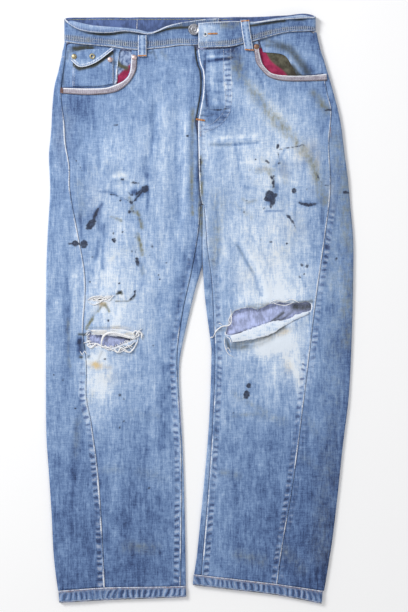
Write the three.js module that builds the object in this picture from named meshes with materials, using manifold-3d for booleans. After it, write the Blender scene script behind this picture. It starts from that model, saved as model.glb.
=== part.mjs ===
// Worn jeans with torn knees, laid flat on their back: each panel is a thin wall bent through a grid of points.
// Millimetres, +Z up, +Y towards the waist. "right" and "left" are the wearer's, so right is at -X.
import * as THREE from "three";
import Module from "manifold-3d";
import { mergeVertices } from "three/addons/utils/BufferGeometryUtils.js";

const wasm = await Module();
wasm.setup();

// ---- driving dimensions -------------------------------------------------------------------------------------
const DENIM = 1.4; // wall of one denim panel
const BAND = 2.4; // wall of the folded waistband, and of the turned-up hems
const TRIM = 1.2; // bindings, loops and patch pockets
const GAP = 0.3; // between pieces that touch
const BAND_CLEAR = 1; // between the waistband's lower edge and the panels that end under it
const LEG_TOP = 4.6; // height of the middle of the front panel's wall on the leg
const LEG_BOTTOM = DENIM / 2; // and of the back panel's
const HIP_LIFT = 1.5; // patch pockets and loops under the seat raise everything above
const POCKET_LIFT = 1.6; // pocket facings between front and back
const CROTCH = 182; // Y of the point where the four legs' seams meet
const UPPER = 360; // Y above which the rows of points fan out to the waist
const LOWER = -440; // Y below which they fan out to the hem
const HIP_ROWS = 4; // rows from UPPER to the waist
const YOKE_ROW = 3; // the one of them on which the yoke meets the side seam
const LEG_ROWS = [320, 280, 240, 210, 190, CROTCH, 150, 110, 72, 30, -15, -60, -105, -150, -200, -250, -300, -350, -400];
const RIGHT = -1;
const LEFT = 1;

// ---- outlines: [x, y] pairs from the waist down -------------------------------------------------------------
const OUTER = {
  [RIGHT]: [[-238, 472], [-242, 451], [-249, 420], [-256, 393], [-260, 355], [-262, 315], [-266, 270], [-264, 209],
    [-268, 140], [-271, 60], [-271.5, -100], [-271, -220], [-267, -283], [-262, -358], [-257, -446], [-246, -520]],
  [LEFT]: [[206, 490], [212, 461], [220, 436], [235, 385], [248, 333], [256, 274], [262, 228], [267, 174],
    [271.5, 121], [271.5, 52], [270, -21], [264, -152], [253, -245], [241, -358], [231, -433], [213, -520]],
};
const SIDE_SEAM = {
  [RIGHT]: [[-234, 472], [-239, 434], [-245, 382], [-239, 327], [-237, 292], [-230, 250], [-229, 207], [-215, 130],
    [-204, 69], [-202, 28], [-206, -42], [-200, -99], [-200, -157], [-191, -205], [-178, -308], [-167, -500]],
  [LEFT]: [[201, 490], [215, 430], [225, 379], [232, 350], [228, 290], [231, 214], [222, 133], [205, 14],
    [186, -145], [166, -300], [144, -433], [135, -500]],
};
const FLY_EDGE = [[-5, 500], [-3, 459], [1, 431], [6, 418], [7, 386], [1, 347], [-2, 331], [-2, 290], [1, 204],
  [5, CROTCH]];
const INSEAM = {
  [RIGHT]: [[1.3, CROTCH], [-1, 150], [-5, 118], [-15, 63], [-30, -5], [-40, -78], [-39, -130], [-34, -220],
    [-32, -308], [-34, -500]],
  [LEFT]: [[8.5, CROTCH], [11.5, 150], [14, 110], [22, 48], [26, -27], [28, -93], [25, -180], [17, -308], [2, -490]],
};
const INNER = {
  [RIGHT]: [[4.6, CROTCH], [4.6, 90], [3.5, 72], [-8, 32], [-30, -62], [-36, -100], [-36, -144], [-29, -270],
    [-25, -430], [-24, -520]],
  [LEFT]: [[5, CROTCH], [5, 90], [5.6, 72], [10, 14], [19, -56], [21, -78], [17, -197], [8, -308], [-11, -500]],
};
const WAIST_SEAM = [[-245, 470], [-215, 466], [-164, 461.5], [-109, 455], [-86, 457], [-29, 464], [-10, 463],
  [-3, 457], [54, 460], [78, 467], [111, 474], [135, 482], [159, 487], [210, 489]];
const BACK_WAIST_SEAM = [[-245, 470], [-100, 472], [100, 475], [210, 488]];
// The share of the way from UPPER to the waist at which the yoke's seam runs, highest at the sides.
const YOKE_SHARE = [[-240, YOKE_ROW / HIP_ROWS], [-120, 0.53], [0, 0.34], [120, 0.53], [206, YOKE_ROW / HIP_ROWS]];
const HEM_TOP = {
  [RIGHT]: [[-260, -500], [-168, -493.5], [-79, -492], [-20, -490.5]],
  [LEFT]: [[-15, -469.5], [67, -479], [142, -488], [225, -500.5]],
};
const HEM_EDGE = {
  [RIGHT]: [[-260, -519], [-170, -514], [-20, -508]],
  [LEFT]: [[-15, -486.5], [48, -494], [132, -504], [218, -520]],
};

// ---- openings torn or cut in the fronts, as closed outlines --------------------------------------------------
const KNEE_TEAR = [[-197, -43], [-170, -41], [-140, -40], [-112, -46], [-114, -53], [-137, -64], [-153, -70],
  [-173, -67], [-195, -64]];
const THIGH_TEAR = [[-195, 16], [-175, 19], [-155, 21], [-165, 15], [-180, 12.5]];
const KNEE_GASH = [[46, -46], [60, -9], [84, 1], [103, -2], [122, 6], [136, 10], [167, 8], [195, 9], [195, -4],
  [174, -10], [156, -19], [126, -24], [89, -37], [54, -48]];
const MOUTH = {
  [RIGHT]: [[-260, 388], [-196, 387.5], [-164, 389], [-146, 395], [-134, 401], [-127, 408], [-123, 418],
    [-120, 444], [-119, 480]],
  [LEFT]: [[103, 490], [104, 458], [107, 445], [111, 431], [119, 420], [128, 413], [150, 409], [196, 410],
    [245, 414]],
};
const BINDING_OUTER = {
  [RIGHT]: [[-242, 378.5], [-195, 376], [-164, 378], [-144, 383], [-127, 395], [-118, 407], [-112, 420],
    [-110.5, 445]],
  [LEFT]: [[95, 460], [97, 449], [100, 433], [109, 420], [120, 409], [135, 403], [162, 400], [224, 401]],
};
const BINDING_INNER = {
  [RIGHT]: [[-240, 388], [-196, 387], [-164, 388.5], [-146, 394.5], [-133, 401], [-126, 408], [-122, 419],
    [-120, 447]],
  [LEFT]: [[104, 462], [105.5, 449], [110, 432], [118, 421], [128, 413.5], [150, 410], [196, 410], [224, 413]],
};

const scene = new THREE.Group();

// ---- curves and heights ------------------------------------------------------------------------------------

// A smooth function through points: value(t), where t is the points' column "key" and the other column is the value.
function through(points, key) {
  const t = points.map((p) => p[key]);
  const v = points.map((p) => p[1 - key]);
  if (t[0] > t[t.length - 1]) {
    t.reverse();
    v.reverse();
  }
  const slope = t.map((_, i) => {
    const a = Math.max(i - 1, 0);
    const b = Math.min(i + 1, t.length - 1);
    return (v[b] - v[a]) / (t[b] - t[a]);
  });
  return (at) => {
    const x = THREE.MathUtils.clamp(at, t[0], t[t.length - 1]);
    let i = 0;
    while (i < t.length - 2 && x > t[i + 1]) i += 1;
    const h = t[i + 1] - t[i];
    const s = (x - t[i]) / h;
    const a = (1 + 2 * s) * (1 - s) ** 2 * v[i] + s * (1 - s) ** 2 * h * slope[i];
    return a + s * s * (3 - 2 * s) * v[i + 1] + s * s * (s - 1) * h * slope[i + 1];
  };
}

const byY = (points) => through(points, 1);
const byX = (points) => through(points, 0);
const mix = THREE.MathUtils.lerp;
const smooth = (low, high, t) => THREE.MathUtils.smoothstep(t, low, high);

const outer = { [RIGHT]: byY(OUTER[RIGHT]), [LEFT]: byY(OUTER[LEFT]) };
const sideSeam = { [RIGHT]: byY(SIDE_SEAM[RIGHT]), [LEFT]: byY(SIDE_SEAM[LEFT]) };
const inseam = { [RIGHT]: byY(INSEAM[RIGHT]), [LEFT]: byY(INSEAM[LEFT]) };
const inner = { [RIGHT]: byY(INNER[RIGHT]), [LEFT]: byY(INNER[LEFT]) };
const flyEdge = byY(FLY_EDGE);
const waistSeam = byX(WAIST_SEAM);
const backWaistSeam = byX(BACK_WAIST_SEAM);
const yokeShare = byX(YOKE_SHARE);
const hemTop = { [RIGHT]: byX(HEM_TOP[RIGHT]), [LEFT]: byX(HEM_TOP[LEFT]) };
const hemEdge = { [RIGHT]: byX(HEM_EDGE[RIGHT]), [LEFT]: byX(HEM_EDGE[LEFT]) };

// A soft ridge of the cloth along the line from a to b: its height is a bell across the line and fades past its ends.
function ridge(x, y, a, b, width, height) {
  const dx = b[0] - a[0];
  const dy = b[1] - a[1];
  const length = Math.hypot(dx, dy);
  const along = ((x - a[0]) * dx + (y - a[1]) * dy) / length;
  const across = ((x - a[0]) * dy - (y - a[1]) * dx) / length;
  const past = Math.max(-along, along - length, 0);
  return height * Math.exp(-((across / width) ** 2) - (past / width) ** 2);
}

// The largest folds: the crease beside the fly, the lifted cloth round both knees, and a long fold on each thigh.
function folds(x, y) {
  return (
    ridge(x, y, [-18, 340], [-14, 130], 12, 1.2) +
    ridge(x, y, [-175, -18], [-125, -18], 22, 1.6) +
    ridge(x, y, [95, 30], [175, 40], 30, 1.8) +
    ridge(x, y, [110, -75], [165, -55], 26, 1.2) +
    ridge(x, y, [62, 436], [150, 300], 24, 1.2) +
    ridge(x, y, [-130, 300], [-120, 90], 40, 0.8)
  );
}

const hipLift = (y) => HIP_LIFT * smooth(185, 235, y);
const bottomZ = (y) => LEG_BOTTOM + hipLift(y);
const topZ = (x, y) => LEG_TOP + hipLift(y) + POCKET_LIFT * smooth(300, 380, y) + folds(x, y);

// ---- walls from grids of points ----------------------------------------------------------------------------

function toSolid(geometry) {
  const bare = new THREE.BufferGeometry().setAttribute("position", geometry.getAttribute("position"));
  if (geometry.index) bare.setIndex(geometry.index);
  const merged = mergeVertices(bare, 1e-4);
  return new wasm.Manifold(
    new wasm.Mesh({
      numProp: 3,
      vertProperties: Float32Array.from(merged.attributes.position.array),
      triVerts: Uint32Array.from(merged.index.array),
    }),
  );
}

function fromSolid(solid) {
  const mesh = solid.getMesh();
  const geometry = new THREE.BufferGeometry();
  geometry.setAttribute("position", new THREE.BufferAttribute(mesh.vertProperties, 3));
  geometry.setIndex(new THREE.BufferAttribute(mesh.triVerts, 1));
  return geometry;
}

// Turns a grid of points, with null where there is no cloth, into a closed wall of the given thickness.
// "ring" joins the last column to the first.
function wall(grid, thickness, ring = false) {
  const rows = grid.length;
  const columns = Math.max(...grid.map((row) => row.length));
  const column = (j) => (ring ? (j + columns) % columns : j);
  const at = (i, j) => (i < 0 || i >= rows ? null : (grid[i][column(j)] ?? null));
  const index = new Map();
  const positions = [];
  const half = thickness / 2;
  for (let i = 0; i < rows; i += 1) {
    for (let j = 0; j < columns; j += 1) {
      const p = at(i, j);
      if (!p) continue;
      const across = (at(i, j + 1) ?? p).clone().sub(at(i, j - 1) ?? p);
      const along = (at(i + 1, j) ?? p).clone().sub(at(i - 1, j) ?? p);
      const normal = across.cross(along).normalize();
      index.set(i * columns + j, positions.length / 6);
      positions.push(...p.clone().addScaledVector(normal, half), ...p.clone().addScaledVector(normal, -half));
    }
  }
  const faces = [];
  const edges = new Map();
  const key = (i, j) => index.get(i * columns + column(j));
  for (let i = 0; i < rows - 1; i += 1) {
    for (let j = 0; j < columns - (ring ? 0 : 1); j += 1) {
      const corners = [key(i, j), key(i, j + 1), key(i + 1, j + 1), key(i + 1, j)];
      if (corners.some((c) => c === undefined)) continue;
      const [a, b, c, d] = corners;
      faces.push([2 * a, 2 * b, 2 * c], [2 * a, 2 * c, 2 * d]);
      faces.push([2 * c + 1, 2 * b + 1, 2 * a + 1], [2 * d + 1, 2 * c + 1, 2 * a + 1]);
      corners.forEach((from, k) => {
        const to = corners[(k + 1) % 4];
        const back = `${to},${from}`;
        if (edges.has(back)) edges.delete(back);
        else edges.set(`${from},${to}`, [from, to]);
      });
    }
  }
  for (const [from, to] of edges.values()) {
    faces.push([2 * to, 2 * from, 2 * from + 1], [2 * to, 2 * from + 1, 2 * to + 1]);
  }
  let volume = 0;
  const point = (k) => new THREE.Vector3().fromArray(positions, 3 * k);
  for (const [a, b, c] of faces) volume += point(a).dot(point(b).cross(point(c)));
  if (volume < 0) faces.forEach((face) => face.reverse());
  const geometry = new THREE.BufferGeometry();
  geometry.setAttribute("position", new THREE.Float32BufferAttribute(positions, 3));
  geometry.setIndex(faces.flat());
  return geometry;
}

// A grid of "rows" by "columns" cells from a function of two numbers between 0 and 1.
function grid(rows, columns, place) {
  return Array.from({ length: rows + 1 }, (_, i) =>
    Array.from({ length: columns + 1 }, (_, j) => place(i / rows, j / columns)),
  );
}

// An upright prism through the whole thickness of the garment, to cut an opening with.
function cutter(outline) {
  const shape = new THREE.Shape(outline.map(([x, y]) => new THREE.Vector2(x, y)));
  return toSolid(new THREE.ExtrudeGeometry(shape, { depth: 40, bevelEnabled: false }).translate(0, 0, -10));
}

// A point at the fraction t along a smooth line through [x, y] or [x, y, z] points.
function line(points) {
  const curve = new THREE.CatmullRomCurve3(
    points.map(([x, y, z = 0]) => new THREE.Vector3(x, y, z)),
    false,
    "centripetal",
  );
  return (t) => curve.getPoint(t);
}

// A patch ruled between two lines, lying "above" the middle of the front panel's wall.
function patch(lineA, lineB, rows, columns, above) {
  const a = line(lineA);
  const b = line(lineB);
  return grid(rows, columns, (s, t) => {
    const p = a(t).lerp(b(t), s);
    p.z = topZ(p.x, p.y) + (typeof above === "function" ? above(s, t) : above);
    return p;
  });
}

function add(name, geometry, material) {
  const mesh = new THREE.Mesh(geometry, material);
  mesh.name = name;
  scene.add(mesh);
}

const cloth = (color) => new THREE.MeshStandardMaterial({ color, roughness: 0.9, metalness: 0 });
const metal = (color) => new THREE.MeshStandardMaterial({ color, roughness: 0.45, metalness: 0.8 });
const denim = cloth(0x8fa8cc);
const innerDenim = cloth(0x7186b4);
const binding = cloth(0xa9a9b8);
const lining = cloth(0xa83a66);
const frayed = cloth(0xcfd8e4);
const silver = metal(0x8f8f94);
const brass = metal(0xb09a62);

// ---- legs --------------------------------------------------------------------------------------------------

const sideName = { [RIGHT]: "right", [LEFT]: "left" };
const seamGap = GAP / 2;

// The front panel's edge next to the centre: the fly and its seam down to the crotch, then the inseam.
function frontInnerEdge(side, y) {
  if (y <= CROTCH) return inseam[side](y) + side * seamGap;
  const past = side === RIGHT ? -4 * smooth(300, 335, y) : 0;
  return flyEdge(y) + past + side * seamGap;
}

// The left front is doubled along the fly, so its edge stands higher there.
function frontZ(side, x, y) {
  const lap = side === LEFT ? 1.2 * smooth(318, 345, y) * (1 - smooth(20, 60, x)) : 0;
  return topZ(x, y) + lap;
}

// The rows of points that front and back share, so that their edges run together: each gives Y for an X.
const hipRows = Array.from({ length: HIP_ROWS + 1 }, (_, k) => k / HIP_ROWS).reverse();
const legRows = (side) => [...LEG_ROWS.map((y) => () => y), () => LOWER, (x) => hemTop[side](x) + seamGap];

function front(side, openings) {
  const fan = hipRows.map((k) => (x) => mix(UPPER, waistSeam(x) - BAND_CLEAR, k));
  const rows = [...fan, ...legRows(side)].map((row, i) =>
    Array.from({ length: 10 }, (_, j) => {
      const nominal = i === 0 ? 465 : row(side * 130);
      const x0 = mix(sideSeam[side](nominal), frontInnerEdge(side, nominal), j / 9);
      const y = row(x0);
      const x = mix(sideSeam[side](y) - side * seamGap, frontInnerEdge(side, y), j / 9);
      return new THREE.Vector3(x, y, frontZ(side, x, y));
    }),
  );
  let solid = toSolid(wall(rows, DENIM));
  for (const outline of openings) solid = solid.subtract(cutter(outline));
  return fromSolid(solid);
}

// Points round a flattened leg at height y: from the side seam over the outer fold, along the bottom, and, below the
// crotch, over the inner fold to the inseam. "inset" is how far the middle of the wall is from the leg's outside.
function legSection(side, y, inset, rise) {
  const zBottom = bottomZ(y) - LEG_BOTTOM + inset;
  const xOuter = outer[side](y);
  const xInner = inner[side](y);
  const lift = rise + inset - DENIM / 2;
  const zOuter = topZ(xOuter, y) + lift;
  const zInner = topZ(xInner, y) + lift;
  // A fold is half an ellipse: as deep as the leg is thick, or less where the seam leaves it less room.
  const foldDepth = (xEdge, xSeam, zTop) =>
    THREE.MathUtils.clamp(Math.abs(xEdge - xSeam) - inset - 1, 0.4, (zTop - zBottom) / 2);
  const fold = (xStart, towards, depth, zTop, from) =>
    [0.25, 0.5, 0.75].map((k) => {
      const angle = Math.PI * (from > 0 ? k : 1 - k);
      const z = (zTop + zBottom) / 2 + ((zTop - zBottom) / 2) * Math.cos(angle);
      return [xStart - towards * depth * Math.sin(angle), z];
    });
  const outerDepth = foldDepth(xOuter, sideSeam[side](y), zOuter);
  const innerDepth = foldDepth(xInner, inseam[side](y), zInner);
  const xFoldOuter = xOuter - side * (outerDepth + inset);
  const xFoldInner = xInner + side * (innerDepth + inset);
  const points = [];
  const seam = sideSeam[side](y) + side * seamGap;
  for (const k of [0, 0.5, 1]) {
    const x = mix(seam, xFoldOuter, k);
    points.push([x, mix(topZ(x, y) + lift, zOuter, k)]);
  }
  points.push(...fold(xFoldOuter, -side, outerDepth, zOuter, 1));
  const centre = y > CROTCH ? (inner[side](CROTCH) + side * seamGap) * (1 - smooth(CROTCH, 240, y)) + side * seamGap : 0;
  const xEnd = y > CROTCH ? centre : xFoldInner;
  for (const k of [0, 0.25, 0.5, 0.75, 1]) points.push([mix(xFoldOuter, xEnd, k), zBottom]);
  if (y <= CROTCH) {
    points.push(...fold(xFoldInner, side, innerDepth, zInner, -1));
    const xInseam = inseam[side](y) - side * seamGap;
    const xStart = side * Math.min(side * xFoldInner, side * xInseam - 1.2);
    for (const k of [0, 1]) {
      const x = mix(xStart, xInseam, k);
      points.push([x, mix(zInner, topZ(x, y) + lift, k)]);
    }
  }
  return points;
}

// The seam that parts the yoke from the back leg.
const yokeSeam = (x) => mix(UPPER, backWaistSeam(x), yokeShare(x));

// One row of a back piece: the section at the height where the row crosses the side, with each point moved to the row.
function backRow(side, row) {
  const nominal = row(sideSeam[side](row(side * 220)));
  return legSection(side, nominal, DENIM / 2, 0).map(([x, z]) => new THREE.Vector3(x, row(x), z));
}

function back(side) {
  const fan = [1, 2 / 3, 1 / 3, 0].map((k) => (x) => mix(UPPER, yokeSeam(x) - seamGap, k));
  return wall([...fan, ...legRows(side)].map((row) => backRow(side, row)), DENIM);
}

function yoke(side) {
  const rows = [(x) => backWaistSeam(x) - BAND_CLEAR, (x) => yokeSeam(x) + seamGap];
  return wall(rows.map((row) => backRow(side, row)), DENIM);
}

// A turned-up hem: a thicker ring that goes all the way round the leg's end.
function hem(side) {
  const rows = [0, 1].map((s) => {
    const section = legSection(side, -500, BAND / 2, 1.1);
    const first = section[0];
    const last = section[section.length - 1];
    const across = [0.2, 0.4, 0.6, 0.8].map((k) => [mix(last[0], first[0], k), mix(last[1], first[1], k)]);
    return [...section, ...across].map(([x, z]) => {
      const xHere = x + 0.35 * (outer[side](mix(-494, -516, s)) - outer[side](-500));
      return new THREE.Vector3(xHere, mix(hemTop[side](x) - seamGap, hemEdge[side](x), s), z);
    });
  });
  return wall(rows, BAND, true);
}

// ---- waistband ---------------------------------------------------------------------------------------------

// Each station gives x and then y and z of four points across the band, from its seam to its free edge. The strip runs
// from the underlap under the fly, round the wearer's right side, along the back and round the left side to the overlap.
const BAND_STATIONS = [
  [34, [469, 8.6], [483, 8.9], [497, 9.1], [510.5, 9.4]],
  [8, [466, 8.6], [481, 8.9], [495, 9.1], [509, 9.3]],
  [-16, [463.5, 8.7], [479, 9.0], [493, 9.2], [505.5, 9.8]],
  [-34, [463.5, 8.7], [480, 9.0], [492, 10.4], [502, 13.5]],
  [-58, [460, 8.8], [479, 9.2], [490, 11], [495, 15.5]],
  [-74, [458.5, 8.9], [477, 9.6], [486.5, 12], [487.5, 16.6]],
  [-90, [457, 9.0], [476, 10], [485, 13], [482.5, 16.8]],
  [-110, [455.5, 9.0], [475, 10.5], [489.5, 14.5], [485, 17.6]],
  [-132, [457.5, 9.0], [477, 11], [492, 15.2], [487, 18]],
  [-160, [461.5, 9.0], [479, 11], [494, 15.5], [484, 18]],
  [-190, [464, 9.0], [482, 11], [497, 15.5], [485.5, 17.6]],
  [-213, [466, 8.9], [484, 10.8], [502, 14.5], [490.5, 17]],
  [-229, [468.5, 8.4], [486, 10], [505, 12.5], [500, 15]],
  [-236.5, [470, 6.8], [487, 8], [501, 9.5], [509, 11]],
  [-237.5, [470, 4.5], [487, 4.9], [501, 5.4], [511.5, 6.2]],
  [-232, [470.5, 2.9], [486, 2.9], [500, 2.9], [513, 3.0]],
  [-190, [471.5, 2.8], [486, 2.8], [500, 2.8], [513.5, 2.8]],
  [-100, [472, 2.8], [486, 2.8], [500, 2.8], [513.5, 2.8]],
  [0, [472, 2.8], [486, 2.8], [500, 2.8], [513.5, 2.8]],
  [100, [475, 2.8], [489, 2.8], [502, 2.8], [514.5, 2.8]],
  [150, [480, 2.8], [493, 2.8], [505, 2.8], [517, 2.8]],
  [185, [486, 2.8], [498, 2.8], [509, 2.8], [520, 2.9]],
  [199, [488.5, 3.1], [498.5, 3.2], [508.5, 3.4], [517.5, 3.8]],
  [204, [489, 5.2], [498, 5.8], [507.5, 6.4], [514.5, 7.4]],
  [202, [489, 7.6], [498, 9.4], [509, 10.6], [512, 13]],
  [186, [488.5, 8.9], [501, 11], [514.5, 13.5], [510.5, 17.4]],
  [150, [486, 9.2], [499, 11], [511, 14], [508, 18]],
  [120, [478, 9.2], [494, 10.8], [506.5, 13.5], [505, 17.6]],
  [97, [471, 9.4], [488, 10.8], [499.5, 12.6], [503, 15.6]],
  [80, [467, 9.8], [484, 11], [496, 11.8], [504.5, 13]],
  [56, [461, 11.6], [477, 12], [491, 12.2], [505, 12.6]],
  [24, [459.5, 12.6], [474, 13.5], [489, 14], [503.5, 13]],
  [-2, [458, 12.8], [473, 15.5], [488, 17], [501, 14.5]],
];

function waistband() {
  const lines = [0, 1, 2, 3].map((k) => line(BAND_STATIONS.map(([x, ...across]) => [x, ...across[k]])));
  return wall(
    grid(52, 6, (s, t) => line(lines.map((f) => f(s).toArray()))(t)),
    BAND,
  );
}

// A belt loop: a strap of the given width along the route, which is a list of [x, y, z] points.
function strap(route, width, thickness, steps) {
  const middle = line(route);
  return wall(
    grid(steps, 1, (s, t) => {
      const p = middle(s);
      p.x += (t - 0.5) * width;
      return p;
    }),
    thickness,
  );
}

const LOOP_WIDTH = 14.5;
const BACK_LOOPS = [-150, 2, 152];

function beltLoops() {
  const right = [[-101, 443, 10.4], [-101, 452, 11.2], [-101, 459, 12.8], [-101, 470, 13.6], [-101, 480, 14.6]];
  const left = [[87, 455, 10.4], [86, 463, 12], [84.5, 470, 13.7], [82, 486, 14.5], [80, 503, 16], [79.5, 507, 16.4]];
  add("loop_front_right", strap(right, LOOP_WIDTH, TRIM, 7), denim);
  add("loop_front_left", strap(left, LOOP_WIDTH, TRIM, 7), denim);
  BACK_LOOPS.forEach((x, i) => {
    const top = backWaistSeam(x) + 36;
    const low = backWaistSeam(x) - 10;
    const route = [low, mix(low, top, 0.5), top].map((y) => [x, y, TRIM / 2]);
    add(`loop_back_${i + 1}`, strap(route, LOOP_WIDTH, TRIM, 1), denim);
  });
}

// ---- fly, pockets and torn edges ---------------------------------------------------------------------------

// The strip sewn under the right front's edge, which runs on below the left front.
function flyUnderlap() {
  return wall(
    grid(6, 3, (s, t) => {
      const y = mix(455, 336, s);
      const x = flyEdge(y) + mix(-12, 26, t);
      return new THREE.Vector3(x, y, topZ(x, y) - 2.2);
    }),
    DENIM,
  );
}

// Edges of the facings that show: the fold beside the red lining, and the side and waist seams that they end at.
const FACING_FOLD = {
  [RIGHT]: [[-226, 384], [-190, 384], [-160, 386], [-147, 396], [-145, 420], [-142, 452]],
  [LEFT]: [[215, 404], [200, 405], [176, 407], [164, 426], [150, 446], [112, 452]],
};
const FACING_SEAM = {
  [RIGHT]: [[-241, 392], [-242, 414], [-239, 434], [-235, 452], [-214, 463], [-166, 458.5]],
  [LEFT]: [[220, 406], [217, 424], [207, 452], [200, 474], [180, 483], [120, 472]],
};
const BAG_EDGE = {
  [RIGHT]: [[-166, 382], [-140, 386], [-116, 404], [-113, 424], [-112, 446]],
  [LEFT]: [[100, 452], [104, 425], [118, 408], [140, 400], [186, 402]],
};
const BAG_BACK = {
  [RIGHT]: [[-170, 397], [-160, 408], [-152, 422], [-148, 436], [-145, 446]],
  [LEFT]: [[118, 456], [132, 450], [150, 442], [166, 430], [188, 416]],
};

function pockets(side) {
  const name = sideName[side];
  const rows = side === RIGHT ? 4 : 5;
  add(`pocket_binding_${name}`, wall(patch(BINDING_OUTER[side], BINDING_INNER[side], 1, 14, 1.7), TRIM), binding);
  const bulge = (s, t) => -1.9 + 0.7 * Math.sin(Math.PI * s) * Math.sin(Math.PI * t);
  add(`pocket_facing_${name}`, wall(patch(FACING_FOLD[side], FACING_SEAM[side], rows, 8, bulge), DENIM), denim);
  add(`pocket_bag_${name}`, wall(patch(BAG_EDGE[side], BAG_BACK[side], 2, 7, -3.4), 0.8), lining);
}

const COIN_BOTTOM = [[-224, 391], [-200, 391], [-175, 392], [-152, 396]];
const COIN_TOP = [[-223, 450], [-200, 449], [-175, 450], [-152, 453]];
const FLAP_TOP = [[-227, 450], [-205, 455], [-180, 457], [-150, 459]];
const FLAP_EDGE = [[-226, 436], [-212, 425], [-186, 431], [-152, 455]];

function coinPocket() {
  const belly = (s, t) => 0.3 + 0.9 * Math.sin(Math.PI * s) * Math.sin(Math.PI * t);
  add("coin_pocket", wall(patch(COIN_BOTTOM, COIN_TOP, 4, 4, belly), TRIM), denim);
  add("coin_flap", wall(patch(FLAP_EDGE, FLAP_TOP, 3, 6, (s) => 2.7 + 1.3 * (1 - s)), TRIM), denim);
}

// A patch pocket under the seat, with a pointed lower edge.
function backPocket(side) {
  const middle = side * 118;
  const outline = [[-70, 78], [70, 78], [64, -50], [0, -78], [-64, -50]];
  const shape = new THREE.Shape(outline.map(([x, y]) => new THREE.Vector2(middle + x, 320 + y)));
  return new THREE.ExtrudeGeometry(shape, { depth: TRIM, bevelEnabled: false });
}

const STRIP_FOLD = [[54, -49.5], [89, -38.5], [126, -25.5], [156, -20.5], [174, -11.5], [193, -6]];
const STRIP_EDGE = [[58, -60], [89, -56], [126, -46], [150, -31], [170, -20], [192, -10]];
const FRINGE_TOP = [[-190, -38], [-165, -38], [-140, -37], [-116, -42]];
const FRINGE_EDGE = [[-191, -47], [-165, -48], [-140, -50], [-112, -54]];

function tornEdges() {
  const turned = (s) => 1.9 + 0.8 * Math.sin(Math.PI * s);
  add("knee_strip_left", wall(patch(STRIP_EDGE, STRIP_FOLD, 2, 9, turned), TRIM), frayed);
  add("knee_fringe_right", wall(patch(FRINGE_EDGE, FRINGE_TOP, 2, 7, turned), TRIM), frayed);
}

// ---- hard pieces -------------------------------------------------------------------------------------------

// A turned metal piece from a profile of [radius, height] points that starts and ends on its axis.
function turned(profile, x, y, z) {
  const geometry = new THREE.LatheGeometry(profile.map(([r, h]) => new THREE.Vector2(r, h)), 14);
  return geometry.rotateX(Math.PI / 2).translate(x, y, z);
}

const BUTTON = [[0, 0], [4, 0], [4, 1.2], [9, 1.5], [10, 2.4], [9.4, 3.6], [7.4, 3.9], [6.6, 3.2], [0, 3.3]];
const RIVET = [[0, 0], [4.6, 0], [4.6, 0.6], [3.2, 1.5], [1.4, 1.8], [0, 1.8]];
const EYELET = [[2.2, 0], [5, 0], [4.6, 1.1], [3.4, 1.5], [2.4, 1.1], [2.2, 0]];

function hardware() {
  add("waist_button", turned(BUTTON, -10, 490.5, 11), silver);
  add("rivet_coin_flap", turned(RIVET, -221, 443, topZ(-221, 443) + 4.6), brass);
  add("rivet_coin_pocket", turned(RIVET, -157.5, 437.5, topZ(-157.5, 437.5) + 5.1), brass);
  add("eyelet_coin_flap", turned(EYELET, -189, 443.5, topZ(-189, 443.5) + 4.8), silver);
  add("rivet_pocket_right", turned(RIVET, -115, 441.5, topZ(-115, 441.5) + 2.8), brass);
  add("rivet_pocket_left", turned(RIVET, 100.5, 461, topZ(100.5, 461) + 2.8), brass);
}

// ---- the garment -------------------------------------------------------------------------------------------

const cornerBeyond = { [RIGHT]: [-270, 500], [LEFT]: [245, 510] };
const mouthCut = (side) => [...MOUTH[side], cornerBeyond[side]];

add("front_right", front(RIGHT, [mouthCut(RIGHT), KNEE_TEAR, THIGH_TEAR]), denim);
add("front_left", front(LEFT, [mouthCut(LEFT), KNEE_GASH]), denim);
for (const side of [RIGHT, LEFT]) {
  const name = sideName[side];
  add(`back_${name}`, back(side), innerDenim);
  add(`yoke_${name}`, yoke(side), innerDenim);
  add(`hem_${name}`, hem(side), denim);
  add(`back_pocket_${name}`, backPocket(side), innerDenim);
  pockets(side);
}
add("waistband", waistband(), denim);
add("fly_underlap", flyUnderlap(), denim);
beltLoops();
coinPocket();
tornEdges();
hardware();

export default scene;
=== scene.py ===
# Worn jeans with torn knees, laid flat on their back. Tables are in millimetres, +Y towards the waist and
# +Z up; meshes are made in metres. "right" and "left" are the wearer's, so right is at -X.
import math

import bmesh
import bpy
import numpy as np
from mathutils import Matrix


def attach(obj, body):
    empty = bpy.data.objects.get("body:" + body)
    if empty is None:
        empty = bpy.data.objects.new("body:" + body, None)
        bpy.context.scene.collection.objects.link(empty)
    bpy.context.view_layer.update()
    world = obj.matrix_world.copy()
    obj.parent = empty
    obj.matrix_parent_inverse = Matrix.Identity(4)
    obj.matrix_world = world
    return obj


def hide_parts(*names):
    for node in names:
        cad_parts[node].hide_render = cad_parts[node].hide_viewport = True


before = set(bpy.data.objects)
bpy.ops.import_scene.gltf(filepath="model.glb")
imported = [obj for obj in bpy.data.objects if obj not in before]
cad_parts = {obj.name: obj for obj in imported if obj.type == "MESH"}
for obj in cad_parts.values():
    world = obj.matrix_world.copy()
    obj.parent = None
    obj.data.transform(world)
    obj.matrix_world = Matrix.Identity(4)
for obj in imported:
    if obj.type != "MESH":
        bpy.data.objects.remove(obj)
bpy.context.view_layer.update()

MM = 0.001
RIGHT, LEFT = -1, 1
NAMES = {RIGHT: "right", LEFT: "left"}
SEED = 7
CLEAN = -9  # distance inside an oil spot, where there is none near
NOISE_CELLS = 97

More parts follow.
